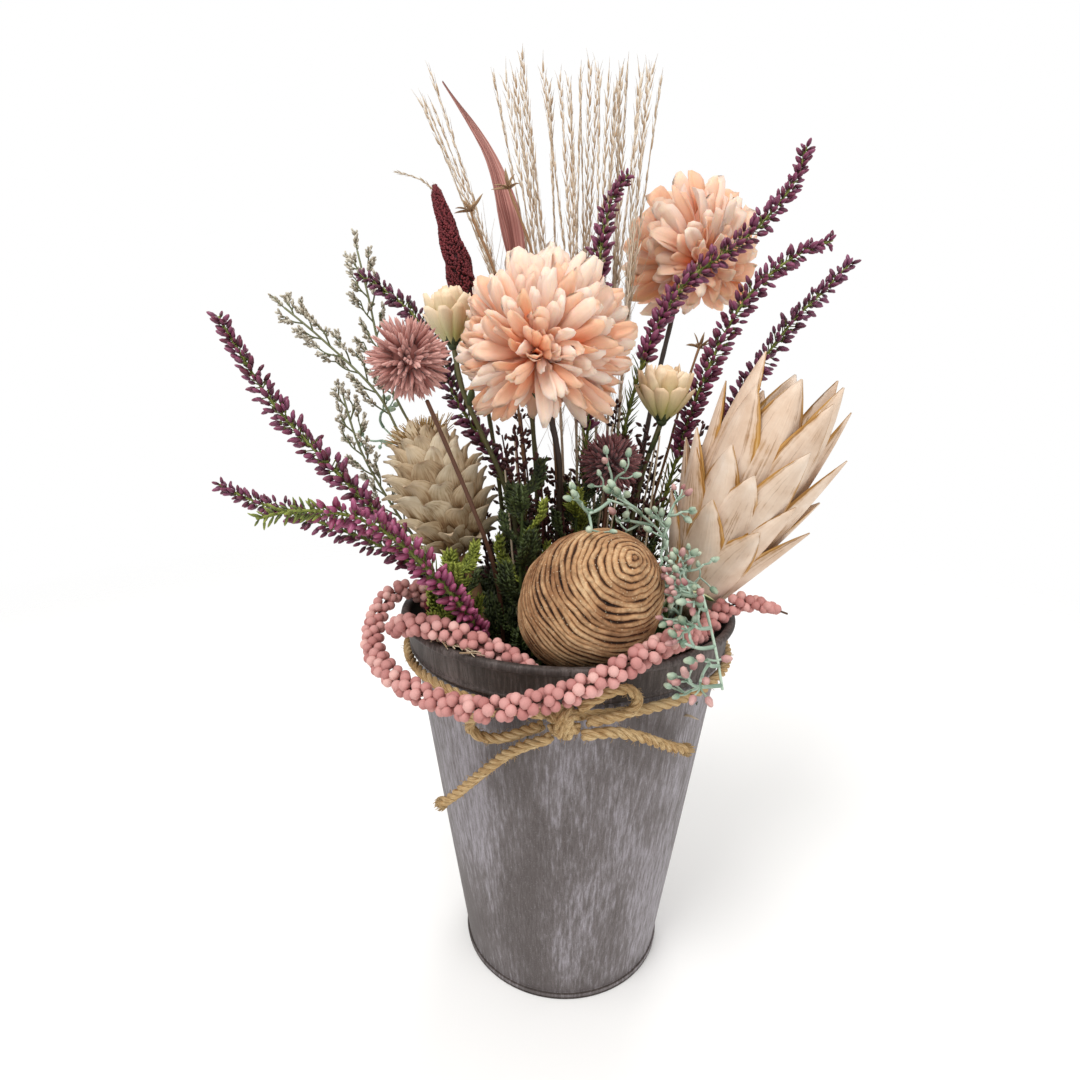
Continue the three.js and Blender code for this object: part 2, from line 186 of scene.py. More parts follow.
def tube(points, radii, sides=8):
    # a closed round tube along the points, with domed ends
    points = np.asarray(points, float)
    n = len(points)
    radii = np.broadcast_to(radii, (n,)).astype(float)
    ways = np.gradient(points, axis=0)
    ways /= np.maximum(np.linalg.norm(ways, axis=1), 1e-12)[:, None]
    side = np.cross((0, 1, 0), ways[0])
    if np.linalg.norm(side) < 1e-2:
        side = np.cross((1, 0.2, 0), ways[0])
    side = unit(side)
    turn = np.linspace(0, 2 * math.pi, sides, endpoint=False)
    rows = []
    for i in range(n):
        side = unit(side - ways[i] * side.dot(ways[i]))
        other = np.cross(ways[i], side)
        ring = np.outer(np.cos(turn), side) + np.outer(np.sin(turn), other)
        rows.append(points[i] + ring * radii[i])
    body = np.concatenate(rows)
    tips = np.array([points[0] - ways[0] * radii[0] * 0.5, points[-1] + ways[-1] * radii[-1] * 0.5])
    verts = np.concatenate([body, tips])
    faces = []
    for i in range(n - 1):
        for k in range(sides):
            a, b = i * sides + k, i * sides + (k + 1) % sides
            faces.append((a, b, b + sides, a + sides))
    faces += fan(n * sides, range(sides), True)
    faces += fan(n * sides + 1, range((n - 1) * sides, n * sides), False)
    along = np.concatenate([np.repeat(np.linspace(0, 1, n), sides), [0, 1]])
    across = np.concatenate([np.tile(turn / (2 * math.pi), n), [0, 0]])
    return verts, faces, along, across


def turnedDrop(profile, sides=6):
    # a small closed body of revolution along +z: (radius, height) pairs, between two poles
    rings = profile[1:-1]
    turn = np.linspace(0, 2 * math.pi, sides, endpoint=False)
    verts = [(0, 0, profile[0][1])]
    for r, z in rings:
        verts += [(r * math.cos(t), r * math.sin(t), z) for t in turn]
    verts.append((0, 0, profile[-1][1]))
    verts = np.array(verts)
    faces = fan(0, range(1, sides + 1), True)
    for i in range(len(rings) - 1):
        for k in range(sides):
            a, b = 1 + i * sides + k, 1 + i * sides + (k + 1) % sides
            faces.append((a, b, b + sides, a + sides))
    last = 1 + (len(rings) - 1) * sides
    faces += fan(len(verts) - 1, range(last, last + sides), False)
    low, high = verts[:, 2].min(), verts[:, 2].max()
    along = (verts[:, 2] - low) / (high - low)
    across = np.arctan2(verts[:, 1], verts[:, 0]) / (2 * math.pi) + 0.5
    return verts, faces, along, across


def ball(sides=8, rings=5):
    half = [(math.sin(math.pi * i / rings), -math.cos(math.pi * i / rings)) for i in range(rings + 1)]
    return turnedDrop(half, sides)


bladeFaces = {}


def blade(length, width, outline, cup=0.3, curl=0.0, curlPower=1.0, start=0.0, blunt=0.0, notch=0.0,
          thick=0.35 * mm, rows=6, columns=4, ruffle=0.0, twist=0.0, phase=0.0):
    # a closed thin blade along +z that faces +y: petals, bracts, scales and leaves
    u = np.linspace(0, 1, rows + 1)
    v = np.linspace(-1, 1, columns + 1)
    angle = start + curl * u ** curlPower
    mid = (angle[1:] + angle[:-1]) / 2
    step = length / rows
    cz = np.concatenate([[0], np.cumsum(np.cos(mid)) * step])
    cy = np.concatenate([[0], np.cumsum(np.sin(mid)) * step])
    half = width / 2 * np.array([outline(x) for x in u])
    down, over = np.meshgrid(u, v, indexing="ij")
    halfWide = half[:, None] * np.ones_like(over)
    bend = angle[:, None] * np.ones_like(over)
    back = length * (blunt * over ** 2 * down ** 4 + notch * np.exp(-(over / 0.28) ** 2) * down ** 8)
    lift = cup * halfWide * over ** 2 + ruffle * np.sin(over * 5 + down * 9 + phase) * down * np.abs(over)
    turn = twist * down
    x0, y0 = halfWide * over, lift
    x = x0 * np.cos(turn) - y0 * np.sin(turn)
    y1 = x0 * np.sin(turn) + y0 * np.cos(turn)
    y = cy[:, None] + np.cos(bend) * y1 - np.sin(bend) * back
    z = cz[:, None] - np.sin(bend) * y1 - np.cos(bend) * back
    top = np.stack([x, y, z], -1)
    depth = thick * (1.05 - 0.75 * over ** 2) * (1 - 0.6 * down)
    under = top - np.stack([0 * x, np.cos(bend) * depth, -np.sin(bend) * depth], -1)
    verts = np.concatenate([top.reshape(-1, 3), under.reshape(-1, 3)])
    key = (rows, columns)
    if key not in bladeFaces:
        w, n = columns + 1, (rows + 1) * (columns + 1)
        faces = []
        for i in range(rows):
            for k in range(columns):
                a = i * w + k
                faces.append((a, a + w, a + w + 1, a + 1))
                faces.append((n + a, n + a + 1, n + a + w + 1, n + a + w))
        edge = [k for k in range(w)] + [i * w + columns for i in range(1, rows + 1)]
        edge += [rows * w + k for k in range(columns - 1, -1, -1)] + [i * w for i in range(rows - 1, 0, -1)]
        for a, b in zip(edge, edge[1:] + edge[:1]):
            faces.append((a, b, n + b, n + a))
        bladeFaces[key] = faces
    along = np.concatenate([down.ravel(), down.ravel()])
    across = np.concatenate([over.ravel(), over.ravel()]) * 0.5 + 0.5
    return verts, bladeFaces[key], along, across


class Growth:
    # gathers many small shapes into one mesh; along, across and shade go with every point

    def __init__(self):
        self.verts, self.loops, self.sizes, self.slots = [], [], [], []
        self.along, self.across, self.shade = [], [], []
        self.count = 0

    def add(self, shape, spot=None, basis=None, size=(1, 1, 1), shade=0.5, finish=0):
        verts, faces, along, across = shape
        verts = verts * np.asarray(size, float)
        if basis is not None:
            verts = verts @ basis
        if spot is not None:
            verts = verts + spot
        self.verts.append(verts)
        for face in faces:
            self.loops.extend([i + self.count for i in face])
            self.sizes.append(len(face))
        self.slots.extend([finish] * len(faces))
        self.along.append(along)
        self.across.append(across)
        self.shade.append(np.full(len(verts), shade))
        self.count += len(verts)

    def piece(self, name, finishes, nodes):
        mesh = bpy.data.meshes.new(name)
        verts = np.concatenate(self.verts)
        mesh.vertices.add(len(verts))
        mesh.vertices.foreach_set("co", verts.astype(np.float32).ravel())
        mesh.loops.add(len(self.loops))
        mesh.loops.foreach_set("vertex_index", np.array(self.loops, np.int32))
        sizes = np.array(self.sizes, np.int32)
        mesh.polygons.add(len(sizes))
        mesh.polygons.foreach_set("loop_start", np.concatenate([[0], np.cumsum(sizes)[:-1]]).astype(np.int32))
        mesh.polygons.foreach_set("material_index", np.array(self.slots, np.int32))
        mesh.polygons.foreach_set("use_smooth", np.full(len(sizes), True))
        mesh.update(calc_edges=True)
        for label in ("along", "across", "shade"):
            values = np.concatenate(getattr(self, label)).astype(np.float32)
            mesh.attributes.new(label, "FLOAT", "POINT").data.foreach_set("value", values)
        mesh.validate()
        made = bpy.data.objects.new(name, mesh)
        bpy.context.scene.collection.objects.link(made)
        for finish in finishes:
            mesh.materials.append(finish.material)
        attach(made, "root")
        if nodes:
            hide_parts(*nodes)
        return made


# Finishes: sockets are wrapped so that arithmetic on them makes Math nodes

def colour(text):
    # a screen colour such as "d8a27f" in Blender's linear values
    parts = [int(text[i:i + 2], 16) / 255 for i in (0, 2, 4)]
    return tuple(c / 12.92 if c <= 0.04045 else ((c + 0.055) / 1.055) ** 2.4 for c in parts) + (1,)


class Wire:
    def __init__(self, finish, socket):
        self.finish, self.socket = finish, socket

    def __add__(self, other):
        return self.finish.maths("ADD", self, other)

    def __radd__(self, other):
        return self.finish.maths("ADD", other, self)

    def __sub__(self, other):
        return self.finish.maths("SUBTRACT", self, other)

    def __rsub__(self, other):
        return self.finish.maths("SUBTRACT", other, self)

    def __mul__(self, other):
        return self.finish.maths("MULTIPLY", self, other)

    def __rmul__(self, other):
        return self.finish.maths("MULTIPLY", other, self)

    def __truediv__(self, other):
        return self.finish.maths("DIVIDE", self, other)

    def __rtruediv__(self, other):
        return self.finish.maths("DIVIDE", other, self)

    def __pow__(self, other):
        return self.finish.maths("POWER", self, other)

    def __abs__(self):
        return self.finish.maths("ABSOLUTE", self)


class Finish:
    def __init__(self, name, **constants):
        self.material = bpy.data.materials.new(name)
        self.material.use_nodes = True
        self.tree = self.material.node_tree
        self.shader = self.tree.nodes["Principled BSDF"]
        for label, value in constants.items():
            self.shader.inputs[label.replace("_", " ")].default_value = value

    def plug(self, socket, value):
        if isinstance(value, Wire):
            self.tree.links.new(value.socket, socket)
        else:
            socket.default_value = value

    def node(self, kind, settings=None, values=(), out=0):
        made = self.tree.nodes.new(kind)
        for label, value in (settings or {}).items():
            if label == "stops":
                ends = made.color_ramp.elements
                ends[1].position, ends[1].color = value[-1]
                ends[0].position, ends[0].color = value[0]
                for place, tone in value[1:-1]:
                    ends.new(place).color = tone
            else:
                setattr(made, label, value)
        for key, value in values.items() if isinstance(values, dict) else enumerate(values):
            self.plug(made.inputs[key], value)
        return Wire(self, made.outputs[out])

    def maths(self, operation, *values):
        return self.node("ShaderNodeMath", {"operation": operation}, values)

    def read(self, label):
        # along, across or shade as stored on the points
        return self.node("ShaderNodeAttribute", {"attribute_name": label}, out=2)

    def ramp(self, value, *stops):
        tones = [(place, colour(tone) if isinstance(tone, str) else (tone,) * 3 + (1,))
                 for place, tone in stops]
        return self.node("ShaderNodeValToRGB", {"stops": tones}, [value])

    def blendOf(self, share, first, second, mode="MIX"):
        made = self.tree.nodes.new("ShaderNodeMix")
        made.data_type = "RGBA"
        made.blend_type = mode
        for socket, value in ((made.inputs[0], share), (made.inputs[6], first), (made.inputs[7], second)):
            self.plug(socket, colour(value) if isinstance(value, str) else value)
        return Wire(self, made.outputs[2])

    def place(self, stretch=(1, 1, 1)):
        # object coordinates, stretched for grain that runs one way
        spot = self.node("ShaderNodeTexCoord", out=3)
        return self.node("ShaderNodeVectorMath", {"operation": "MULTIPLY"}, [spot, stretch])

    def mottle(self, scale, detail=3.0, stretch=(1, 1, 1), roughness=0.55, where=None):
        where = self.place(stretch) if where is None else where
        return self.node("ShaderNodeTexNoise", None,
                         {"Vector": where, "Scale": scale, "Detail": detail, "Roughness": roughness})

    def onBlade(self, lengthwise, crosswise):
        # a vector that follows each petal or strand: fine across it, slow along it
        return self.node("ShaderNodeCombineXYZ", None, [self.read("along") * lengthwise,
                                                        self.read("across") * crosswise,
                                                        self.read("shade") * 37.0])

    def paint(self, tone):
        self.plug(self.shader.inputs["Base Color"], tone)
        return self

    def rough(self, value):
        self.plug(self.shader.inputs["Roughness"], value)
        return self

    def metal(self, value):
        self.plug(self.shader.inputs["Metallic"], value)
        return self

    def relief(self, height, depth):
        bump = self.node("ShaderNodeBump", None, {"Strength": 1.0, "Distance": depth, "Height": height})
        self.plug(self.shader.inputs["Normal"], bump)
        return self


def plantFinish(name, base, tip, pale=None, deep="8a6a58", veins=18.0, veinShow=0.35, depth=0.15 * mm,
                roughness=0.62, spread=0.35, **constants):
    # colour runs from base to tip, varies from petal to petal and carries fine lengthwise veins
    made = Finish(name, **constants)
    along, shade = made.read("along"), made.read("shade")
    vein = made.mottle(1.0, 2.0, where=made.onBlade(2.2, veins))
    grain = made.mottle(900, 3.0)
    tone = made.ramp(along, (0.0, base), (0.25, base), (0.95, tip))
    tone = made.blendOf((1 - shade) * spread, tone, deep, "MULTIPLY")
    tone = made.blendOf(shade * spread, tone, pale or tip)
    tone = made.blendOf(veinShow, tone, made.ramp(vein, (0.3, 0.55), (0.6, 1.0)), "MULTIPLY")
    tone = made.blendOf(veinShow * 0.7, tone, made.ramp(grain, (0.35, 0.6), (0.6, 1.0)), "MULTIPLY")
    made.paint(tone)
    made.rough(grain * 0.2 + (roughness - 0.1))
    made.relief(vein + grain * 0.5, depth)
    return made


# The camera, the floor and the light

viewer = {"place": (0, -0.3065, 0.2881), "pitch": 0.2341, "yaw": -0.0438, "roll": 0.0085, "lens": 21.79}


def makeCamera():
    pitch, yaw, roll = viewer["pitch"], viewer["yaw"], viewer["roll"]
    ahead = np.array([math.sin(yaw) * math.cos(pitch), math.cos(yaw) * math.cos(pitch), -math.sin(pitch)])
    right = np.array([math.cos(yaw), -math.sin(yaw), 0])
    up = np.cross(right, ahead)
    right, up = right * math.cos(roll) + up * math.sin(roll), up * math.cos(roll) - right * math.sin(roll)
    data = bpy.data.cameras.new("camera")
    data.lens, data.sensor_width = viewer["lens"], 36
    data.clip_start, data.clip_end = 0.01, 50
    made = bpy.data.objects.new("camera", data)
    turn = Matrix((right, up, -ahead)).transposed().to_4x4()
    made.matrix_world = Matrix.Translation(viewer["place"]) @ turn
    bpy.context.scene.collection.objects.link(made)
    bpy.context.scene.camera = made


studio = {"sky": 0.72, "key": 11.0, "fill": 3.0, "back": 4.0, "floor": "f6f5f3", "fade": (0.4, 1.0)}


def areaLight(name, place, target, size, power):
    data = bpy.data.lights.new(name, "AREA")
    data.shape, data.size, data.energy = "DISK", size, power
    made = bpy.data.objects.new(name, data)
    made.location = place
    made.rotation_euler = (Vector(target) - Vector(place)).to_track_quat("-Z", "Y").to_euler()
    bpy.context.scene.collection.objects.link(made)


def makeStudio():
    world = bpy.data.worlds.new("soft white room")
    world.use_nodes = True
    nodes, links = world.node_tree.nodes, world.node_tree.links
    light, shown = nodes["Background"], nodes.new("ShaderNodeBackground")
    light.inputs["Color"].default_value = shown.inputs["Color"].default_value = (1, 1, 1, 1)
    light.inputs["Strength"].default_value = studio["sky"]
    both = nodes.new("ShaderNodeMixShader")
    links.new(nodes.new("ShaderNodeLightPath").outputs["Is Camera Ray"], both.inputs[0])
    links.new(light.outputs[0], both.inputs[1])
    links.new(shown.outputs[0], both.inputs[2])
    links.new(both.outputs[0], nodes["World Output"].inputs["Surface"])
    bpy.context.scene.world = world
    bpy.context.scene.view_settings.view_transform = "Standard"
    middle = (0, 0, 0.24)
    areaLight("key light", (-0.4, -0.6, 1.3), middle, 0.6, studio["key"])
    areaLight("fill light", (0.95, -0.7, 0.6), middle, 0.8, studio["fill"])
    areaLight("back light", (0.2, 0.9, 0.9), middle, 0.7, studio["back"])
    mesh = bpy.data.meshes.new("floor")
    far = studio["fade"][1] + 0.1
    mesh.from_pydata([(-far, -far, 0), (far, -far, 0), (far, far, 0), (-far, far, 0)], [], [(0, 1, 2, 3)])
    floor = bpy.data.objects.new("floor", mesh)
    bpy.context.scene.collection.objects.link(floor)
    paper = Finish("floor paper", Roughness=0.9)
    grain = paper.ramp(paper.mottle(900), (0.3, 0.8), (0.7, 1.0))
    paper.paint(paper.blendOf(0.04, studio["floor"], grain, "MULTIPLY"))
    # the paper fades out into the white room
    away = paper.node("ShaderNodeVectorMath", {"operation": "LENGTH"}, [paper.place()], out=1)
    share = paper.ramp(away, (studio["fade"][0], 0.0), (studio["fade"][1], 1.0))
    clear = paper.node("ShaderNodeBsdfTransparent")
    fading = paper.node("ShaderNodeMixShader", None, [share, Wire(paper, paper.shader.outputs[0]), clear])
    paper.tree.links.new(fading.socket, paper.tree.nodes["Material Output"].inputs["Surface"])
    mesh.materials.append(paper.material)
    floor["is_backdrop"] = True


makeCamera()
makeStudio()
print("camera, floor and light are set")


# The jute cord: two loops and two tails of the bow, the band round the collar and the knot

jute = {"diameter": 4.4 * mm, "plies": 3, "pitch": 14 * mm, "fuzz": 2.6 * mm, "fuzzPer": 1500}

bowRoutes = {
    "jute_loop_left": [(-7.9, -84, 167.8), (-13, -83, 168.2), (-22, -80, 167.2), (-31, -76, 163.5),
                       (-37.2, -71.8, 158), (-37.8, -70, 153.6), (-34.5, -70.6, 150.8), (-29, -72.4, 150.6),
                       (-22, -74.8, 153), (-14.5, -77.6, 157.6), (-8.6, -81.4, 161.8)],
    "jute_loop_right": [(5.6, -84.4, 170.9), (10.2, -83.6, 174), (17, -82.2, 177), (23.4, -80.2, 177.2),
                        (27.4, -78.4, 173), (26, -78.6, 168.4), (19.4, -81, 166.4), (13, -83.4, 166),
                        (8.6, -84.6, 166)],
    "jute_tail_left": [(-5, -86, 159.6), (-9.5, -84.6, 157), (-15, -82, 153.5), (-22, -77.6, 147),
                       (-29, -72.6, 138.5), (-38.5, -65.4, 126), (-46.5, -59.6, 115.5),
                       (-53.5, -54.6, 107.5)],
    "jute_tail_right": [(6.9, -86, 160.8), (12, -84.6, 161), (19, -81.8, 160.2), (28, -77.4, 156.4),
                        (37, -70.6, 150), (45, -63.6, 143.8), (51.5, -57.6, 139.6)],
}


def juteFinish():
    made = Finish("jute fibre", Specular_IOR_Level=0.2)
    strand = made.mottle(1.0, 4.0, where=made.node("ShaderNodeCombineXYZ", None, [
        made.read("along") * 26.0, made.read("across") * 34.0, made.read("shade") * 9.0]))
    tone = made.ramp(strand, (0.28, "6e5233"), (0.43, "b39264"), (0.58, "d2b88c"), (0.8, "ecdab8"))
    tone = made.blendOf(made.ramp(made.mottle(160), (0.4, 0.0), (0.7, 0.5)), tone, "c9a878", "MULTIPLY")
    made.paint(tone).rough(0.85)
    made.relief(strand + made.mottle(1400, 2.0) * 0.4, 0.25 * mm)
    return made


juteFibre = juteFinish()


def ply(points, phase, pitch, offset):
    # one strand wound round the line
    line = Line(points)
    count = max(8, int(line.length / (pitch / 14)))
    mid = line.part(0, 1, count)
    ways = np.gradient(mid, axis=0)
    ways /= np.linalg.norm(ways, axis=1)[:, None]
    side = unit(np.cross((0.1, 1, 0.05), ways[0]))
    out = []
    for i, share in enumerate(np.linspace(0, 1, count)):
        side = unit(side - ways[i] * side.dot(ways[i]))
        other = np.cross(ways[i], side)
        turn = phase + 2 * math.pi * share * line.length / pitch
        out.append(mid[i] + (side * math.cos(turn) + other * math.sin(turn)) * offset)
    return np.array(out)


def twistCord(growth, points, rng, frayed=False, fuzz=None):
    # plies laid round each other, loose hairs, and a brushed-out end where the cord was cut
    radius = jute["diameter"] / 2
    line = Line(points)
    for k in range(jute["plies"]):
        strand = ply(points, 2 * math.pi * k / jute["plies"], jute["pitch"], radius * 0.54)
        swell = 1 + 0.05 * np.sin(np.linspace(0, 40, len(strand)) + k)
        growth.add(tube(strand, radius * 0.5 * swell, 8), shade=0.2 + 0.3 * k)
    for k in range(int(line.length * (fuzz or jute["fuzzPer"]))):
        share = rng.random()
        way = axes(line.way(share))
        turn = rng.uniform(0, 2 * math.pi)
        out = outward(way, turn)
        lean = unit(out * rng.uniform(0.4, 1) + way[2] * rng.uniform(-1, 1))
        foot = line.at(share) + out * radius * 0.8
        reach = rng.uniform(0.3, 1) * jute["fuzz"]
        bend = out * reach * 0.2
        hair = smooth([foot, foot + lean * reach * 0.5 + bend, foot + lean * reach], 2)
        growth.add(tube(hair, np.linspace(0.14, 0.06, len(hair)) * mm, 3), shade=rng.random())
    if frayed:
        end, way = line.at(1), axes(line.way(1))
        for k in range(150):
            turn, spread = rng.uniform(0, 2 * math.pi), rng.random() ** 0.6
            out = outward(way, turn)
            foot = end + out * radius * 0.8 * spread - way[2] * 2.5 * mm
            tip = foot + way[2] * rng.uniform(3.2, 5.2) * mm + out * spread * 1.3 * mm
            loose = np.array([foot, (foot + tip) / 2 + out * 0.5 * mm, tip])
            growth.add(tube(loose, np.array([0.3, 0.26, 0.12]) * mm, 4), shade=rng.random())


def makeBow():
    rng = random.Random(11)
    for name, route in bowRoutes.items():
        points = smooth([np.array(p) * mm for p in route], 8)
        growth = Growth()
        tail = "tail" in name
        twistCord(growth, points, rng, frayed=tail)
        made = growth.piece(name + "_twist", [juteFibre], [name])


def makeBandAndKnot():
    rng = random.Random(12)
    low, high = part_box("jute_band")
    middle, radius = (low + high) / 2, (high.x - low.x) / 2 - jute["diameter"] / 2
    growth = Growth()
    turns = np.linspace(0, 2 * math.pi, 161)
    slope = 0.6 * mm
    ring = [(middle.x + (radius + 0.2 * mm) * math.cos(t), middle.y + (radius + 0.2 * mm) * math.sin(t),
             middle.z + slope * math.sin(t * 2 + 1)) for t in turns]
    twistCord(growth, np.array(ring), rng, fuzz=350)
    growth.piece("jute_band_twist", [juteFibre], ["jute_band"])
    low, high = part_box("jute_knot")
    c = np.array((low + high) / 2)
    size = np.array((high - low) / 2) * 0.7
    growth = Growth()
    wraps = [[(-1, 0.5, 0.25), (-0.5, -0.6, 0.55), (0.1, -1, 0.2), (0.6, -0.6, -0.5), (1, 0.3, -0.4)],
             [(-1, 0.4, -0.5), (-0.4, -0.7, -0.6), (0.1, -0.9, 0.1), (0.5, -0.5, 0.75), (1, 0.3, 0.7)],
             [(-0.2, 0.7, 1), (-0.25, -0.6, 0.9), (-0.3, -1.05, 0), (-0.15, -0.7, -0.9), (0, 0.6, -1)],
             [(0.3, 0.7, 1), (0.28, -0.6, 0.85), (0.25, -1.0, 0), (0.3, -0.7, -0.85), (0.2, 0.6, -1)]]
    for wrap in wraps:
        twistCord(growth, smooth([c + size * np.array(p) for p in wrap], 6), rng, fuzz=1600)
    growth.piece("jute_knot_wraps", [juteFibre], ["jute_knot"])


makeBow()
makeBandAndKnot()
print("jute cord is tied")


# The zinc pot: rolled lip, collar, groove, tapered wall, foot bead and base

pot = {"dark": "534c4a", "mid": "6e6665", "light": "8b8587", "wear": "b0abb3", "collar": "463d39",
       "shoulder": 75 * mm, "foot": 49.75 * mm, "collarHeight": 16.5 * mm, "sheet": 0.8 * mm, "sides": 160}


def zincFinish(name, light, mid, dark, wear):
    made = Finish(name, Specular_IOR_Level=0.35)
    fine = made.mottle(1500, 3.0, (1, 1, 0.02), 0.7)      # hair-fine brush marks
    streak = made.mottle(650, 5.0, (1, 1, 0.02), 0.75)    # whitish rubbed streaks
    broad = made.mottle(30, 3.0, (1, 1, 0.3), 0.5)        # darker and paler patches
    speck = made.mottle(1700, 3.0)
    tone = made.blendOf(made.ramp(fine, (0.3, 0.0), (0.7, 1.0)), dark, mid)
    tone = made.blendOf(made.ramp(streak * 0.5 + broad * 0.5, (0.42, 0.0), (0.66, 0.8)), tone, light)
    tone = made.blendOf(made.ramp(streak * 0.7 + broad * 0.5, (0.6, 0.0), (0.78, 0.6)), tone, wear)
    tone = made.blendOf(made.ramp(broad, (0.3, 0.5), (0.5, 0.0)), tone, dark)
    tone = made.blendOf(made.ramp(speck, (0.55, 0.0), (0.75, 0.4)), tone, dark)
    tone = made.blendOf(made.ramp(speck, (0.25, 0.35), (0.4, 0.0)), tone, wear)
    made.paint(tone)
    made.rough(fine * 0.2 + 0.5)
    made.metal(made.ramp(streak, (0.4, 0.4), (0.65, 0.12)))
    made.relief(fine * 0.7 + speck * 0.5, 0.08 * mm)
    return made


zincWall = zincFinish("brushed zinc", pot["light"], pot["mid"], pot["dark"], pot["wear"])
# the darker collar zinc also covers the groove under the collar's lip, where its darker tone is painted shade
zincCollar = zincFinish("worn zinc collar", "5a504c", pot["collar"], "2f2825", "766b68")


def latheShape(profile, sides):
    # a closed ring of revolution: the profile closes on itself
    turn = np.linspace(0, 2 * math.pi, sides, endpoint=False)
    verts = np.array([(r * math.cos(t), r * math.sin(t), z) for r, z in profile for t in turn])
    n = len(profile)
    faces = []
    for i in range(n):
        j = (i + 1) % n
        for k in range(sides):
            l = (k + 1) % sides
            faces.append((i * sides + k, i * sides + l, j * sides + l, j * sides + k))
    return verts, faces, np.repeat(np.arange(n) / n, sides), np.tile(turn / (2 * math.pi), n)


def arc(cx, cz, r, a, b, count):
    turns = np.radians(np.linspace(a, b, count))
    return [(cx + r * math.cos(t), cz + r * math.sin(t)) for t in turns]


def makePot():
    low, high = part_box("pot_body")
    height, rim = high.z, high.x
    foot, shoulder, sheet = pot["foot"], pot["shoulder"], pot["sheet"]
    neck = height - pot["collarHeight"]            # where the collar starts
    bead = 1.3 * mm
    outer = [(foot + 0.5 * mm, 0.6 * mm)]
    outer += arc(foot + 0.6 * mm, 2.0 * mm, bead, -80, 80, 7)
    outer += [(foot + 0.9 * mm, 3.8 * mm)]
    outer += [(foot + 1.0 * mm, 4.2 * mm), (foot + (shoulder - foot) * 0.5, neck * 0.5)]
    outer += [(shoulder - 1.2 * mm, neck - 3.2 * mm), (shoulder - 0.8 * mm, neck - 2.0 * mm)]
    outer += [(shoulder - 1.5 * mm, neck - 1.2 * mm), (shoulder - 1.4 * mm, neck - 0.3 * mm)]
    outer += arc(shoulder + 0.3 * mm, neck + 0.9 * mm, 1.2 * mm, -110, 60, 8)
    outer += [(shoulder + 1.6 * mm, neck + 4 * mm), (rim - 2.6 * mm, height - 4.6 * mm)]
    outer += arc(rim - 2.0 * mm, height - 2.0 * mm, 2.0 * mm, -75, 180, 14)
    outer += [(rim - 4.1 * mm, height - 3.4 * mm), (rim - 3.4 * mm, height - 5 * mm)]
    inner = [(shoulder + 0.9 * mm, neck + 4 * mm), (shoulder - 0.6 * mm, neck + 0.6 * mm),
             (shoulder - 1.4 * mm - sheet, neck - 2 * mm), (foot + 0.1 * mm, 4.2 * mm),
             (foot - 0.3 * mm, 0.6 * mm)]
    growth = Growth()
    growth.add(latheShape(outer + inner, pot["sides"]))
    made = growth.piece("zinc_pot", [zincWall, zincCollar], ["pot_body"])
    # the collar and the groove under its lip take the darker collar zinc; in the groove that darker tone is
    # painted shade
    for face in made.data.polygons:
        if face.center.z > neck - 1.6 * mm:
            face.material_index = 1
    base = Growth()     # the base disc closes the wall
    low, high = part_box("pot_base")
    radius, top, bottom = high.x, high.z, low.z
    disc = [(0, bottom + 0.5 * mm), (radius * 0.4, bottom + 0.5 * mm), (radius * 0.8, bottom + 0.4 * mm),
            (radius * 0.9, bottom), (radius - 0.3 * mm, bottom), (radius, bottom + 0.3 * mm),
            (radius, top - 0.2 * mm), (radius - 0.3 * mm, top), (radius * 0.4, top), (0, top)]
    base.add(turnedDrop(disc, 96))
    base.piece("zinc_base", [zincCollar], ["pot_base"])


makePot()
print("pot is turned")


# The berry garland: small matt beads bunched round a wire

garlandLook = {"bead": 4.7 * mm, "step": 1.95 * mm, "wire": 0.5 * mm}


def garlandFinish():
    made = Finish("pink foam berries", Specular_IOR_Level=0.25)
    grain = made.mottle(1500, 4.0)
    patch = made.mottle(90, 2.0)
    shade = made.read("shade")
    tone = made.ramp(shade, (0.0, "b97d78"), (0.45, "cb928c"), (0.8, "d8a39c"), (1.0, "e2b3aa"))
    tone = made.blendOf(made.ramp(patch, (0.5, 0.0), (0.8, 0.4)), tone, "c48d84", "MULTIPLY")
    tone = made.blendOf(0.3, tone, made.ramp(grain, (0.3, 0.7), (0.6, 1.0)), "MULTIPLY")
    made.paint(tone).rough(0.78)
    made.relief(grain, 0.1 * mm)
    return made


pinkBerry = garlandFinish()
wireFinish = plantFinish("brown wrapped wire", "4a3426", "5d4331", roughness=0.75)


def makeGarland(node, rng):
    line = spineOf(node)
    growth = Growth()
    bead = ball(8, 6)
    count = int(line.length / garlandLook["step"])
    growth.add(tube(line.part(0, 1, 60), garlandLook["wire"], 6), finish=1)
    turn = rng.uniform(0, 6)
    for i in range(count):
        share = (i + 0.5) / count
        if line.girth(share) < 2.5 * mm:
            continue
        way = axes(line.way(share))
        for k in range(2):
            turn += 2 * math.pi * 0.382
            out = outward(way, turn)
            size = garlandLook["bead"] / 2 * rng.uniform(0.88, 1.06)
            away = min(line.girth(share), 5.2 * mm) - size * 0.92
            spot = line.at(share) + out * away + way[2] * rng.uniform(-0.5, 0.5) * mm
            growth.add(bead, spot, axes(out, roll=rng.uniform(0, 3)), (size, size, size), rng.random())
    return growth.piece(node + "_berries", [pinkBerry, wireFinish], [node])


for node in ("garland_front", "garland_inner"):
    makeGarland(node, random.Random(node))
print("garlands are strung")


# Flowers: petals are blades set round a core

def spot3(v):
    return np.array([v.x, v.y, v.z])


def stemTube(growth, line, low, high, thick, finish=0, sides=7, bumps=0.06):
    count = max(5, int((high - low) * line.length / (3.5 * mm)))
    wobble = 1 + bumps * np.sin(np.linspace(0, count * 1.7, count))
    growth.add(tube(line.part(low, high, count), np.linspace(*thick, count) * wobble, sides), finish=finish)


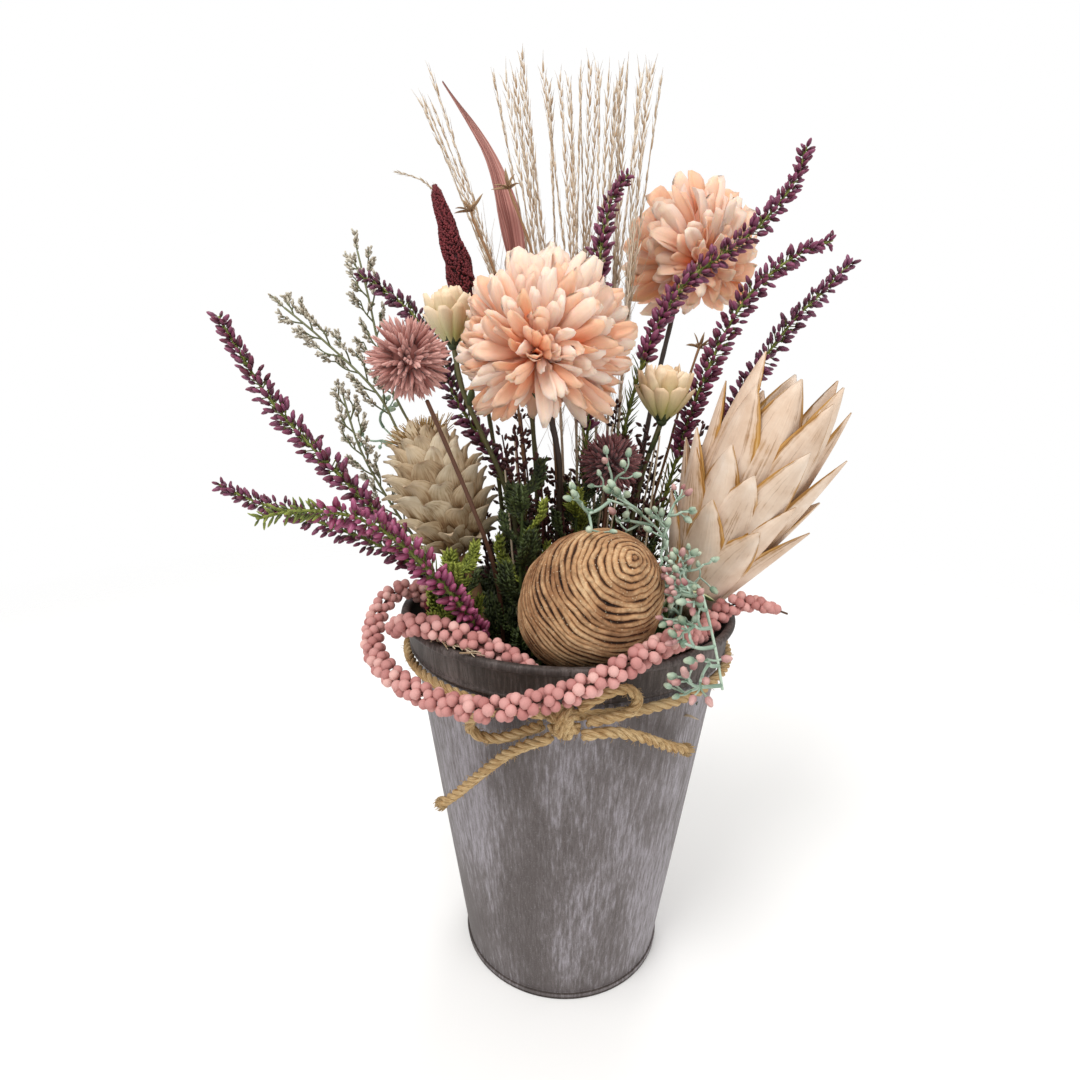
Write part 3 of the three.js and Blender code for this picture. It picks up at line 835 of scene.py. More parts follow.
def spoonOutline(u):
    rounded = 1 - 0.22 * max(0, (u - 0.82) / 0.18) ** 2
    return 0.3 + 0.7 * math.sin(min(1, u / 0.74) * math.pi / 2) ** 1.5 * rounded


def strapOutline(u):
    return 0.55 + 0.45 * math.sin(min(1, u / 0.6) * math.pi / 2) - 0.3 * max(0, (u - 0.75) / 0.25) ** 2


def leafOutline(u):
    return 0.05 + 0.95 * math.sin(math.pi * min(1, u ** 0.8)) ** 0.8


def pointedOutline(u):
    if u < 0.45:
        return 0.45 + 0.55 * math.sin(min(1, u / 0.45) * math.pi / 2)
    return max(0.03, (1 - u) / 0.55) ** 0.75


# deep and pale follow each petal's shade value, which on the chrysanthemums rises with height: the pale tone
# is painted light on the upper petals and the deep tone is painted shade on the lower ones
petalFinish = plantFinish("peach silk petals", "ee8f5c", "fdd3b6", veins=14, veinShow=0.1, deep="f3b08c",
                          depth=0.12 * mm, roughness=0.7, spread=0.5, pale="fff0e2",
                          Subsurface_Weight=0.25, Subsurface_Scale=0.004)
darkStem = plantFinish("dark brown stem", "2a1c14", "3a281c", roughness=0.55, depth=0.1 * mm)
sepalGreen = plantFinish("dark green sepals", "2c3a20", "54622f", roughness=0.6)
brownStem = plantFinish("brown stem", "4a2c1e", "6e4630", roughness=0.6, depth=0.1 * mm)
oliveStem = plantFinish("olive stem", "4a4a26", "5d5a30", roughness=0.6)

# root is where the petals spring from, as shares of the head's radius from its middle
chrysanthemum = {"front": {"petals": 460, "wide": 7.2 * mm, "root": (-0.04, -0.3, -0.12), "grow": 1.07},
                 "back": {"petals": 270, "wide": 9.6 * mm, "root": (0.1, -0.4, -0.2), "grow": 1.1}}


def makeChrysanthemum(side, seed):
    rng = random.Random(seed)
    look, name = chrysanthemum[side], "chrysanthemum_" + side
    low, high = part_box(name + "_head")
    radius = (high.x - low.x) / 2
    middle = np.array([(low.x + high.x) / 2, (low.y + high.y) / 2, high.z - 0.95 * radius])
    root = middle + radius * np.array(look["root"])
    growth = Growth()
    growth.add(ball(16, 10), middle - np.array([0, 0, 0.12 * radius]), None, (radius * 0.5,) * 3, 0.1)
    for i in range(look["petals"]):
        z = 1 - 1.82 * (i + 0.5) / look["petals"]
        turn = i * goldenAngle + rng.uniform(-0.12, 0.12)
        flat = math.sqrt(max(0, 1 - z * z))
        out = unit(np.array([flat * math.cos(turn), flat * math.sin(turn), z])
                   + scatter(rng, 0.12))
        droop = z < -0.42
        reach = radius * look["grow"] * rng.uniform(0.74, 1.0) * (1.12 if droop else 1.0)
        tip = middle + out * reach
        foot = root + out * radius * 0.16 + (middle - root) * max(0, out[1]) * 0.9
        span = tip - foot
        length = np.linalg.norm(span) * 1.06
        width = look["wide"] * rng.uniform(0.8, 1.15) * (0.84 if droop else 1.0)
        width *= min(1, length / radius + 0.25)
        inward = middle - (foot + tip) / 2 - out * radius * 0.2
        arch = rng.uniform(0.3, 0.6)
        cup = rng.uniform(0.35, 0.75) * (1 if rng.random() < 0.6 else -1)
        # each petal's shade value rises with its height on the head, so upper petals come out paler and lower
        # ones deeper: painted light from above and painted shade underneath
        growth.add(blade(length, width, strapOutline if droop else spoonOutline, cup=cup, curl=2 * arch,
                         start=-arch, blunt=0.12, notch=rng.uniform(0.0, 0.07), ruffle=0.7 * mm,
                         twist=rng.uniform(-0.6, 0.6), phase=rng.uniform(0, 6), thick=0.3 * mm, rows=7,
                         columns=3),
                   foot, axes(span, inward, rng.uniform(-0.5, 0.5)), shade=rng.random() ** (1.4 - 0.7 * z))
    growth.piece(name + "_petals", [petalFinish], [name + "_head"])
    line = spineOf(name + "_stem")
    stem = Growth()
    stemTube(stem, line, 0, 1, (1.4 * mm, 1.3 * mm), sides=9)
    top, way = line.at(1), axes(line.way(1))
    for k in range(12):
        turn = k * 2 * math.pi / 12
        out = outward(way, turn)
        stem.add(blade(8 * mm, 3.4 * mm, pointedOutline, cup=0.4, start=-1.0, curl=0.9),
                 top - way[2] * 3 * mm + out * 1.2 * mm, axes(way[2], -out), shade=rng.random(), finish=1)
    stem.piece(name + "_stalk", [darkStem, sepalGreen], [name + "_stem"])


budFinish = plantFinish("cream bud petals", "b9bd68", "f6dcb6", veins=16, veinShow=0.15, roughness=0.65,
                        spread=0.4, deep="d8b890", pale="fbe6cf")
# how many petals each layer of a bud has, and how long and wide they are
budLayers = ((8, 0.9, 0.6), (10, 0.92, 0.66), (10, 0.88, 0.7), (9, 0.72, 0.72))


def makeBud(node, seed):
    rng = random.Random(seed)
    line = spineOf(node)
    start = headStart(line, 1.9 * mm)
    growth = Growth()
    stemTube(growth, line, 0, start, (1.2 * mm, 1.2 * mm), finish=1)
    foot, way = line.at(start), axes(line.way(0.5 + start / 2))
    length = line.length * (1 - start)
    top = max(line.radii)
    growth.add(ball(12, 8), foot + way[2] * length * 0.48, axes(way[2]),
               (top * 0.7, top * 0.7, length * 0.42), 0.3)
    for layer, (count, size, wide) in enumerate(budLayers):
        for k in range(count):
            turn = (k + layer * 0.5) * 2 * math.pi / count + rng.uniform(-0.2, 0.2)
            out = outward(way, turn)
            bulge = 0.68 + 0.09 * layer
            growth.add(blade(length * size * rng.uniform(0.95, 1.1), top * 1.3 * wide, spoonOutline, cup=0.6,
                             start=-bulge, curl=(1.5 - 0.3 * layer) * bulge, blunt=0.16, ruffle=0.3 * mm,
                             notch=rng.uniform(0, 0.08), phase=rng.uniform(0, 6),
                             twist=rng.uniform(-0.2, 0.2), rows=8, columns=4),
                       foot + out * (0.8 + 0.35 * layer) * mm, axes(way[2], -out, rng.uniform(-0.2, 0.2)),
                       shade=rng.random())
    for k in range(6):
        turn = k * 2 * math.pi / 6 + 0.3
        out = outward(way, turn)
        sepal = blade(length * rng.uniform(0.36, 0.5), 5.4 * mm, pointedOutline, cup=0.6, start=-0.95,
                      curl=1.1)
        growth.add(sepal, foot - way[2] * 1.0 * mm + out * 1.4 * mm, axes(way[2], -out), shade=rng.random(),
                   finish=2)
    growth.add(ball(10, 6), foot - way[2] * 0.5 * mm, axes(way[2]), (2.6 * mm, 2.6 * mm, 2.4 * mm), finish=2)
    for k in range(3):      # small leaves on the stalk
        share = start * rng.uniform(0.72, 0.95)
        turn = rng.uniform(0, 6)
        out = outward(way, turn)
        growth.add(blade(11 * mm, 4 * mm, leafOutline, cup=0.3, curl=0.6), line.at(share),
                   axes(unit(way[2] + out * 0.8), -out), shade=rng.random(), finish=2)
    growth.piece(node + "_petals", [budFinish, oliveStem, sepalGreen], [node])


# base, tip and palest colour of the florets
thistleLook = {"left": ("b9685e", "e0a297", "eec2b6"), "right": ("4c1f26", "8e5055", "c08583")}


def spikeShape(bend):
    profile = [(0, 0), (0.5, 0.02), (0.62, 0.3), (0.52, 0.62), (0.3, 0.88), (0, 1.0)]
    verts, faces, along, across = turnedDrop(profile, 4)
    verts = verts.copy()
    verts[:, 0] += bend * verts[:, 2] ** 2
    return verts, faces, along, across


def makeThistle(side, seed):
    rng = random.Random(seed)
    base, tip, pale = thistleLook[side]
    floret = plantFinish(f"thistle florets {side}", base, tip, pale=pale, veins=8, roughness=0.8, spread=0.45,
                         depth=0.1 * mm, Sheen_Weight=0.3)
    low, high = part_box(f"thistle_{side}_head")
    middle, radius = spot3((low + high) / 2), (high.x - low.x) / 2
    growth = Growth()
    growth.add(ball(14, 10), middle, None, (radius * 0.5,) * 3, 0.0)
    shapes = [spikeShape(b) for b in (-0.9, -0.5, -0.2, 0.25, 0.55, 1.0)]
    count = 430
    for i in range(count):
        z = 1 - 2 * (i + 0.5) / count
        turn = i * goldenAngle
        out = np.array([math.sqrt(1 - z * z) * math.cos(turn), math.sqrt(1 - z * z) * math.sin(turn), z])
        out = unit(out + scatter(rng, 0.17))
        length = radius * rng.uniform(0.46, 0.72)
        wide = 1.5 * mm * rng.uniform(0.75, 1.2)
        growth.add(rng.choice(shapes), middle + out * radius * 0.4, axes(out, roll=rng.uniform(0, 6.3)),
                   (wide, wide, length), rng.random())
    growth.piece(f"thistle_{side}_florets", [floret], [f"thistle_{side}_head"])
    stem = Growth()
    line = spineOf(f"thistle_{side}_stem")
    stemTube(stem, line, 0, 1, (1.1 * mm, 0.9 * mm), sides=8)
    stem.piece(f"thistle_{side}_stalk", [brownStem], [f"thistle_{side}_stem"])


# Spikes of small parts along a stalk

def makeAmaranth(node, seed, wisps):
    rng = random.Random(seed)
    line = spineOf(node)
    start = headStart(line, 2.2 * mm)
    growth = Growth()
    stemTube(growth, line, 0, start + 0.1, (1.2 * mm, 1.1 * mm), finish=1)
    core = line.part(start, 1, 24)
    growth.add(tube(core, [line.girth(s) * 0.72 for s in np.linspace(start, 1, 24)], 12), shade=0.0)
    grain = ball(4, 3)
    count = 2300 if wisps else 900
    for i in range(count):
        share = start + (1 - start) * (i + 0.5) / count
        turn = i * goldenAngle + rng.uniform(-0.3, 0.3)
        way = axes(line.way(share))
        out = outward(way, turn)
        girth = max(line.girth(share), 0.9 * mm)
        lump = 1 + 0.1 * math.sin(share * 90 + turn * 3)
        size = rng.uniform(0.6, 1.05) * mm
        lean = unit(out + way[2] * 0.7)
        growth.add(grain, line.at(share) + out * (girth * 0.86 * lump - size * 0.4), axes(lean),
                   (size * 0.75, size * 0.75, size * 1.2), rng.random())
    for k in range(16 if wisps else 0):
        foot = line.at(rng.uniform(0.86, 1.0))
        lean = unit(np.array([rng.uniform(-0.8, 0.3), rng.uniform(-0.5, 0.5), 1.0]))
        reach = rng.uniform(3, 8) * mm
        curl = np.array([rng.uniform(-1, 1), rng.uniform(-1, 1), 0]) * mm
        hair = smooth([foot, foot + lean * reach * 0.6 + curl, foot + lean * reach], 3)
        growth.add(tube(hair, np.linspace(0.16, 0.08, len(hair)) * mm, 3), shade=rng.random(), finish=2)
    if wisps:       # one long feathery wisp leans away from the tip
        tip = line.at(0.99)
        wisp = Line(smooth([tip, tip + np.array([-6, 0, 4.5]) * mm, tip + np.array([-12, 0, 7]) * mm,
                            tip + np.array([-18, 0, 8.5]) * mm], 5))
        growth.add(tube(wisp.points, np.linspace(0.28, 0.12, len(wisp.points)) * mm, 4), shade=0.8, finish=2)
        for k in range(26):
            way = axes(wisp.way(k / 26))
            turn = rng.uniform(0, 6.3)
            out = outward(way, turn)
            growth.add(seedShape, wisp.at(k / 26), axes(unit(way[2] + out * 0.3)),
                       (0.5 * mm, 0.4 * mm, rng.uniform(2, 4) * mm), rng.random(), 2)
    growth.piece(node + "_grains", [amaranthRed, oliveStem, dryStraw], [node])


amaranthRed = plantFinish("amaranth grains", "330b10", "6e1f28", pale="94383c", veins=6, roughness=0.8,
                          spread=0.5, depth=0.1 * mm)
dryStraw = plantFinish("dry straw", "b79c78", "dcc8a8", veins=10, roughness=0.75, spread=0.4, pale="efe2cc")

heatherLook = {
    "heather_left_high": {"base": "471022", "tip": "84344e", "buds": 1.0, "green": 0.0},
    "heather_left_low": {"base": "42101f", "tip": "7a3046", "buds": 1.0, "green": 0.0},
    "heather_front": {"base": "7e2446", "tip": "b45a7c", "buds": 1.0, "green": 0.2},
    "heather_upper_left": {"base": "34101c", "tip": "662c3c", "buds": 1.0, "green": 0.0},
    "heather_top": {"base": "481226", "tip": "80344c", "buds": 1.0, "green": 0.0},
    "heather_right_high": {"base": "4a1028", "tip": "843550", "buds": 1.0, "green": 0.0},
    "heather_right_middle": {"base": "4a1028", "tip": "843550", "buds": 1.0, "green": 0.0},
    "heather_right_low": {"base": "44142a", "tip": "7c3a55", "buds": 1.0, "green": 0.0},
}
budShape = turnedDrop([(0, 0), (0.36, 0.06), (0.52, 0.4), (0.36, 0.8), (0.14, 0.96), (0, 1.0)], 6)
capShape = turnedDrop([(0, 0), (0.34, 0.1), (0.32, 0.4), (0, 0.45)], 5)
heatherGreen = plantFinish("heather green", "46561f", "8a9a3e", roughness=0.6, pale="b4b955")


def makeHeather(node, seed):
    rng = random.Random(seed)
    look = heatherLook[node]
    tint = plantFinish(node.replace("_", " ") + " buds", look["base"], look["tip"], veins=9, veinShow=0.15,
                       roughness=0.42, spread=0.4, depth=0.1 * mm, deep="9a6a80", pale="a25c84")
    line = spineOf(node)
    start = headStart(line, 2.2 * mm)
    growth = Growth()
    stemTube(growth, line, 0, 0.995, (1.15 * mm, 0.5 * mm), finish=1)
    share, turn = start, rng.uniform(0, 6)
    while share < 0.995:
        progress = (share - start) / (1 - start)
        turn += goldenAngle
        way = axes(line.way(share))
        out = outward(way, turn)
        girth = line.girth(min(share + 0.02, 1))
        size = (0.7 + 0.42 * (1 - progress) ** 0.5) * rng.uniform(0.75, 1.2) * look["buds"]
        long, wide = 4.9 * mm * size, 2.3 * mm * size
        lean = unit(out * rng.uniform(0.8, 1.3) + way[2] * rng.uniform(0.3, 1.1)
                    + scatter(rng, 0.14))
        tipGreen = progress > 1 - look["green"]
        wide *= 0.55 if tipGreen else 1
        off = max(girth * rng.uniform(0.9, 1.25) - long * 0.72, 0.5 * mm)
        foot = line.at(share) + out * 0.4 * mm
        head = foot + lean * off
        growth.add(tube(np.array([foot, head]), 0.32 * mm, 3), finish=1)
        growth.add(budShape, head, axes(lean, roll=turn), (wide, wide, long), rng.random(), int(tipGreen))
        if rng.random() < 0.5:
            growth.add(capShape, head - lean * 0.2 * mm, axes(lean), (wide * 1.15, wide * 1.15, long * 0.7),
                       rng.random(), 1)
        share += rng.uniform(0.5, 0.72) * mm / line.length
    leaves = int(start * line.length / (1.25 * mm))
    for i in range(leaves):     # needle leaves down the bare stem
        share = start * (0.35 + 0.65 * i / leaves)
        turn += goldenAngle
        way = axes(line.way(share))
        out = outward(way, turn)
        needle = blade(rng.uniform(5, 9) * mm, 1.3 * mm, leafOutline, cup=0.2, curl=rng.uniform(-0.3, 0.5),
                       rows=3, columns=2)
        growth.add(needle, line.at(share) + out * 0.6 * mm, axes(unit(out * 0.8 + way[2]), -out),
                   shade=rng.random(), finish=1)
    growth.piece(node + "_spike", [tint, heatherGreen], [node])


# Grass plumes: a thin stalk with alternate spikelets and awns

seedShape = turnedDrop([(0, 0), (0.45, 0.2), (0.42, 0.6), (0, 1.0)], 4)
plumeFinish = plantFinish("dry grass", "c4a57e", "e6d6be", veins=10, veinShow=0.2, roughness=0.8,
                          spread=0.45, deep="b58f66", pale="f5ecde")
# long and gap are ranges in millimetres for the spikelets and the space between them
plumeLook = {"strands": 4, "fan": 13 * mm, "long": (5.0, 7.5), "gap": (2.6, 3.8)}


def makePlume(node, seed):
    # each plume is a few thin strands that part towards the top, with spikelets held close to them
    rng = random.Random(seed)
    line = spineOf(node)
    start = headStart(line, 1.5 * mm)
    growth = Growth()
    stemTube(growth, line, 0, start, (0.8 * mm, 0.7 * mm), finish=0, sides=6)
    for strand in range(plumeLook["strands"]):
        away = rng.uniform(0, math.pi * 2)
        side = np.array([math.cos(away), math.sin(away), 0]) * plumeLook["fan"] * (0.25 + 0.75 * rng.random())
        low = start * rng.uniform(0.75, 1.0)
        shares = np.linspace(low, 0.998 - 0.05 * rng.random(), 22)
        points = []
        for s in shares:
            sway = np.array([math.sin(s * 9 + away), math.cos(s * 11 + away), 0]) * 0.9 * mm * (s - low)
            points.append(line.at(s) + side * ((s - low) / (1 - low)) ** 1.3 + sway)
        stem = Line(points)
        growth.add(tube(points, np.linspace(0.5, 0.18, 22) * mm, 5), shade=rng.random())
        share, turn = rng.uniform(0.02, 0.06), rng.uniform(0, 6)
        while share < 0.99:
            way = axes(stem.way(share))
            turn += math.pi + rng.uniform(-0.5, 0.5)
            out = outward(way, turn)
            lean = unit(way[2] + out * rng.uniform(0.06, 0.22))
            head = stem.at(share) + out * 0.3 * mm
            long = rng.uniform(*plumeLook["long"]) * mm
            growth.add(seedShape, head, axes(lean, roll=rng.uniform(0, 3)), (1.0 * mm, 0.6 * mm, long),
                       rng.random())
            tip = head + lean * (long + rng.uniform(1, 4) * mm) + out * rng.uniform(0.1, 0.7) * mm
            growth.add(tube(np.array([head + lean * long * 0.8, (head + lean * long + tip) / 2, tip]),
                            np.array([0.13, 0.09, 0.05]) * mm, 3), shade=rng.random())
            share += rng.uniform(*plumeLook["gap"]) * mm / stem.length
    for k in range(46):      # fine silk along the lower half
        share = start * rng.uniform(0.7, 1.25)
        foot = line.at(min(share, 0.95))
        lean = unit(np.array([rng.gauss(0, 0.3), rng.gauss(0, 0.3), 1.0]))
        reach = rng.uniform(10, 26) * mm
        sway = np.array([rng.gauss(0, 1), rng.gauss(0, 1), 0]) * 1.5 * mm
        silk = smooth([foot, foot + lean * reach * 0.5 + sway, foot + lean * reach], 3)
        growth.add(tube(silk, np.linspace(0.16, 0.06, len(silk)) * mm, 3), shade=rng.random())
    growth.piece(node + "_spikelets", [plumeFinish], [node])


for side, seed in (("front", 3), ("back", 4)):
    makeChrysanthemum(side, seed)
for node, seed in (("bud_left", 5), ("bud_right", 6)):
    makeBud(node, seed)
for side, seed in (("left", 7), ("right", 8)):
    makeThistle(side, seed)
print("flowers, buds and thistles are set")
for node, seed, wisps in (("amaranth_tall", 9, True), ("amaranth_low", 10, False)):
    makeAmaranth(node, seed, wisps)
for seed, node in enumerate(heatherLook):
    makeHeather(node, 20 + seed)
for k in range(1, 9):
    makePlume(f"grass_plume_{k}", 40 + k)
print("spikes and plumes are set")


# The folded dried leaf: one ribbed strip with a narrower one folded over it

leafLook = {"wide": 9.5 * mm, "thick": 0.5 * mm}


def ribbon(line, low, high, width, thick, count, turnAt, wave=0.0, ribs=7):
    # a closed ribbed strip along the line
    columns = 2 * ribs
    rows, under = [], []
    shares = np.linspace(low, high, count)
    for i, share in enumerate(shares):
        way = axes(line.way(share), (0, 1, 0), turnAt(share))
        half = width(share) / 2
        v = np.linspace(-1, 1, columns + 1)
        crease = np.abs(v) * half * 0.35
        rib = 0.25 * mm * np.cos(np.arange(columns + 1) * math.pi)
        swing = wave * math.sin(share * 60)
        row = line.at(share) + np.outer(half * v, way[0]) + np.outer(crease + rib + swing * v, way[1])
        rows.append(row)
        under.append(row - way[1] * thick)
    w, n = columns + 1, count * (columns + 1)
    verts = np.concatenate([np.concatenate(rows), np.concatenate(under)])
    faces = []
    for i in range(count - 1):
        for k in range(columns):
            a = i * w + k
            faces.append((a, a + 1, a + w + 1, a + w))
            faces.append((n + a, n + a + w, n + a + w + 1, n + a + 1))
    edge = list(range(w)) + [i * w + columns for i in range(1, count)]
    edge += [(count - 1) * w + k for k in range(columns - 1, -1, -1)]
    edge += [i * w for i in range(count - 2, 0, -1)]
    faces += [(a, n + a, n + b, b) for a, b in zip(edge, edge[1:] + edge[:1])]
    along = np.tile(np.repeat(np.linspace(0, 1, count), w), 2)
    across = np.tile(np.tile(np.linspace(0, 1, w), count), 2)
    return verts, faces, along, across


def makeFoldedLeaf():
    tint = Finish("dusty pink leaf", Specular_IOR_Level=0.25)
    along = tint.read("along")
    vein = tint.mottle(1.0, 3.0, where=tint.onBlade(3.0, 30.0))
    tone = tint.ramp(vein, (0.28, "7a4a42"), (0.45, "a96f66"), (0.6, "c79388"), (0.78, "e2c3b4"))
    tone = tint.blendOf(tint.ramp(along, (0.3, 0.55), (0.6, 0.0)), tone, "96584c", "MULTIPLY")
    tint.paint(tone).rough(0.8)
    tint.relief(vein, 0.3 * mm)
    line = spineOf("folded_leaf")
    start = headStart(line, 2.2 * mm)
    growth = Growth()
    stemTube(growth, line, 0, start + 0.04, (1.3 * mm, 1.2 * mm), finish=1)

    def width(share):
        s = (share - start) / (1 - start)
        swell = 0.3 * math.exp(-((s - 0.58) / 0.12) ** 2)
        body = 0.25 + 0.6 * math.sin(min(1, s / 0.2) * math.pi / 2) + swell
        return leafLook["wide"] * body * min(1, (1.02 - s) / 0.4)

    thick, fold = leafLook["thick"], start + (1 - start) * 0.46
    growth.add(ribbon(line, start, 1, width, thick, 70, lambda s: 0.35 * math.sin(s * 7), 0.5 * mm),
               shade=0.6)
    growth.add(ribbon(line, fold, 0.97, lambda s: width(s) * 0.62, thick, 46,
                      lambda s: 0.75 + 0.3 * math.sin(s * 11), 0.6 * mm), shade=0.3)
    growth.piece("folded_leaf_strip", [tint, oliveStem], ["folded_leaf"])


twigBrown = plantFinish("brown twig", "6e4a30", "a07850", roughness=0.8, depth=0.15 * mm, pale="a07a5e")
bractTan = plantFinish("tan bracts", "94704a", "c6a47c", veins=12, roughness=0.8, pale="cdb291")


def star(growth, top, way, rng, rays, reach):
    # an umbel of narrow dry bracts round a few small knobs
    for k in range(rays):
        turn = k * 2 * math.pi / rays + rng.uniform(-0.3, 0.3)
        tilt = rng.uniform(0.5, 1.5)
        out = outward(way, turn)
        lean = unit(way[2] * math.cos(tilt) + out * math.sin(tilt))
        bract = blade(reach * rng.uniform(0.75, 1.15), 1.9 * mm, leafOutline, cup=0.5,
                      curl=rng.uniform(-0.7, 0.4), twist=rng.uniform(-0.6, 0.6), rows=5, columns=2)
        growth.add(bract, top, axes(lean, way[2], rng.uniform(-0.6, 0.6)), shade=rng.random(), finish=1)
    for k in range(4):
        lean = unit(way[2] + scatter(rng, 0.5))
        growth.add(budShape, top, axes(lean), (1.1 * mm, 1.1 * mm, 2.8 * mm), rng.random(), 1)


def makeUmbelTwig(node, seed):
    rng = random.Random(seed)
    line = spineOf(node)
    growth = Growth()
    stemTube(growth, line, 0, 0.985, (1.0 * mm, 0.6 * mm), bumps=0.12)
    star(growth, line.at(0.985), axes(line.way(0.98)), rng, 7, 8.5 * mm)
    for share in (0.72, 0.86):      # a pair of small bracts at each joint
        way = axes(line.way(share))
        for side in (-1, 1):
            out = way[0] * side
            growth.add(blade(6.5 * mm, 1.7 * mm, leafOutline, cup=0.4, curl=-0.4, rows=4, columns=2),
                       line.at(share), axes(unit(out + way[2] * 0.5), way[2]), shade=rng.random(), finish=1)
    growth.piece(node + "_stars", [twigBrown, bractTan], [node])


# Statice: olive stalks with alternate side branches of tiny grey-cream florets

staticeFinish = plantFinish("statice florets", "948a6c", "cfc6ae", veins=6, roughness=0.85, spread=0.55,
                            pale="f3eee2", depth=0.1 * mm)
staticeStem = plantFinish("statice stem", "5b5f38", "838660", roughness=0.7)
floretShape = turnedDrop([(0, 0), (0.5, 0.3), (0.45, 0.8), (0, 1.0)], 4)


def floretSpike(growth, foot, lean, reach, rng):
    bend = np.array([rng.uniform(-1, 1), rng.uniform(-1, 1), 1.5]) * reach * 0.1
    line = Line(smooth([foot, foot + lean * reach * 0.5, foot + lean * reach + bend], 6))
    growth.add(tube(line.points, np.linspace(0.4, 0.2, len(line.points)) * mm, 5), finish=1)
    count = int(reach / (0.42 * mm))
    for i in range(count):
        share = 0.3 + 0.73 * i / count
        way = axes(line.way(min(share, 1)))
        turn = rng.uniform(0, 6.3)
        out = outward(way, turn)
        size = rng.uniform(0.8, 1.3)
        growth.add(floretShape, line.at(min(share, 1)) + out * rng.uniform(0, 0.5) * mm,
                   axes(unit(out * 0.6 + way[2]), roll=turn), np.array([1.05, 1.05, 2.0]) * mm * size,
                   rng.random())


def makeStatice(node, seed):
    rng = random.Random(seed)
    line = spineOf(node)
    start = headStart(line, 1.9 * mm)
    growth = Growth()
    stemTube(growth, line, 0, 0.97, (1.0 * mm, 0.5 * mm), finish=1)
    floretSpike(growth, line.at(0.96), line.way(0.97), line.length * 0.04, rng)
    share, side = start, 1
    while share < 0.95:
        way = axes(line.way(share), (0, 1, 0))
        side = -side
        turn = (0 if side > 0 else math.pi) + rng.uniform(-0.7, 0.7)
        out = outward(way, turn)
        lean = unit(out * 0.6 + way[2])
        reach = rng.uniform(11, 17) * mm * (1.1 - 0.65 * (share - start) / (1 - start))
        arm = Line(smooth([line.at(share), line.at(share) + lean * reach * 0.6,
                           line.at(share) + unit(lean + way[2] * 0.4) * reach], 5))
        growth.add(tube(arm.points, np.linspace(0.45, 0.3, len(arm.points)) * mm, 5), finish=1)
        for k in range(4):
            grow = unit(arm.way(0.5) + out * rng.uniform(-0.7, 0.9) + scatter(rng, 0.25))
            floretSpike(growth, arm.at(0.4 + 0.2 * k), grow, rng.uniform(3.5, 6) * mm, rng)
        share += rng.uniform(4.5, 7.0) * mm / line.length
    growth.piece(node + "_florets", [staticeFinish, staticeStem], [node])


# Evergreen filler: flat sprays of tiny overlapping scale leaves

cypressDark = plantFinish("dark cypress", "1e2814", "3f4f22", roughness=0.6, pale="6b7a2c", spread=0.35)
cypressLime = plantFinish("lime cypress tips", "5a6a1a", "a0ac34", roughness=0.6, pale="c3cc5a", spread=0.4)
scaleShape = turnedDrop([(0, 0), (0.55, 0.35), (0, 1.0)], 3)
cypressScale = (1.65 * mm, 1.0 * mm, 3.6 * mm)
budSimple = turnedDrop([(0, 0), (0.5, 0.35), (0.35, 0.75), (0, 1.0)], 4)


def frond(growth, foot, lean, face, reach, rng, finish, pairs=9):
    # a midrib with paired branchlets, all sheathed in scales
    line = Line(smooth([foot, foot + lean * reach * 0.55, foot + unit(lean + face * 0.25) * reach], 5))
    ribs = [(line, 0.0, 1.0)]
    side = unit(np.cross(lean, face))
    for k in range(pairs):
        share = 0.16 + 0.76 * k / pairs
        root = line.at(share)
        for s in (-1, 1):
            out = unit(line.way(share) + side * s * 0.85 + face * rng.uniform(-0.2, 0.2))
            long = reach * 0.42 * (1 - share * 0.75) * rng.uniform(0.8, 1.15)
            end = root + unit(out + lean * 0.3) * long
            ribs.append((Line(np.array([root, root + out * long * 0.5, end])), 0.1, 1.0))
    for rib, low, high in ribs:
        growth.add(tube(rib.points, np.linspace(0.4, 0.2, len(rib.points)) * mm, 4), shade=0.2, finish=finish)
        count = max(4, int(rib.length / (2.0 * mm)))
        for i in range(count):
            share = low + (high - low) * i / count
            way = axes(rib.way(share), face)
            for s in (-1, 1):
                grow = unit(way[2] + way[0] * s * 0.5 + way[1] * rng.uniform(-0.2, 0.4))
                growth.add(scaleShape, rib.at(share), axes(grow, face), cypressScale, rng.random(), finish)


# the share of lime tips on each spray
cypressFronds = {"cypress_left": 0.8, "cypress_middle": 0.3, "cypress_right": 0.45}


def makeCypress(node, seed):
    rng = random.Random(seed)
    lime = cypressFronds[node]
    line = spineOf(node)
    growth = Growth()
    stemTube(growth, line, 0, 0.97, (1.1 * mm, 0.6 * mm), finish=0)
    for i in range(17):
        share = 0.25 + 0.73 * i / 17
        way = axes(line.way(share), (0, 1, 0))
        turn = i * goldenAngle
        out = outward(way, turn)
        reach = rng.uniform(20, 32) * mm * (1.15 - 0.5 * share)
        frond(growth, line.at(share), unit(out * 0.8 + way[2] * 0.9), unit(way[2] - out * 0.5), reach, rng,
              1 if rng.random() < lime and share > 0.55 else 0)
    growth.piece(node + "_fronds", [cypressDark, cypressLime], [node])


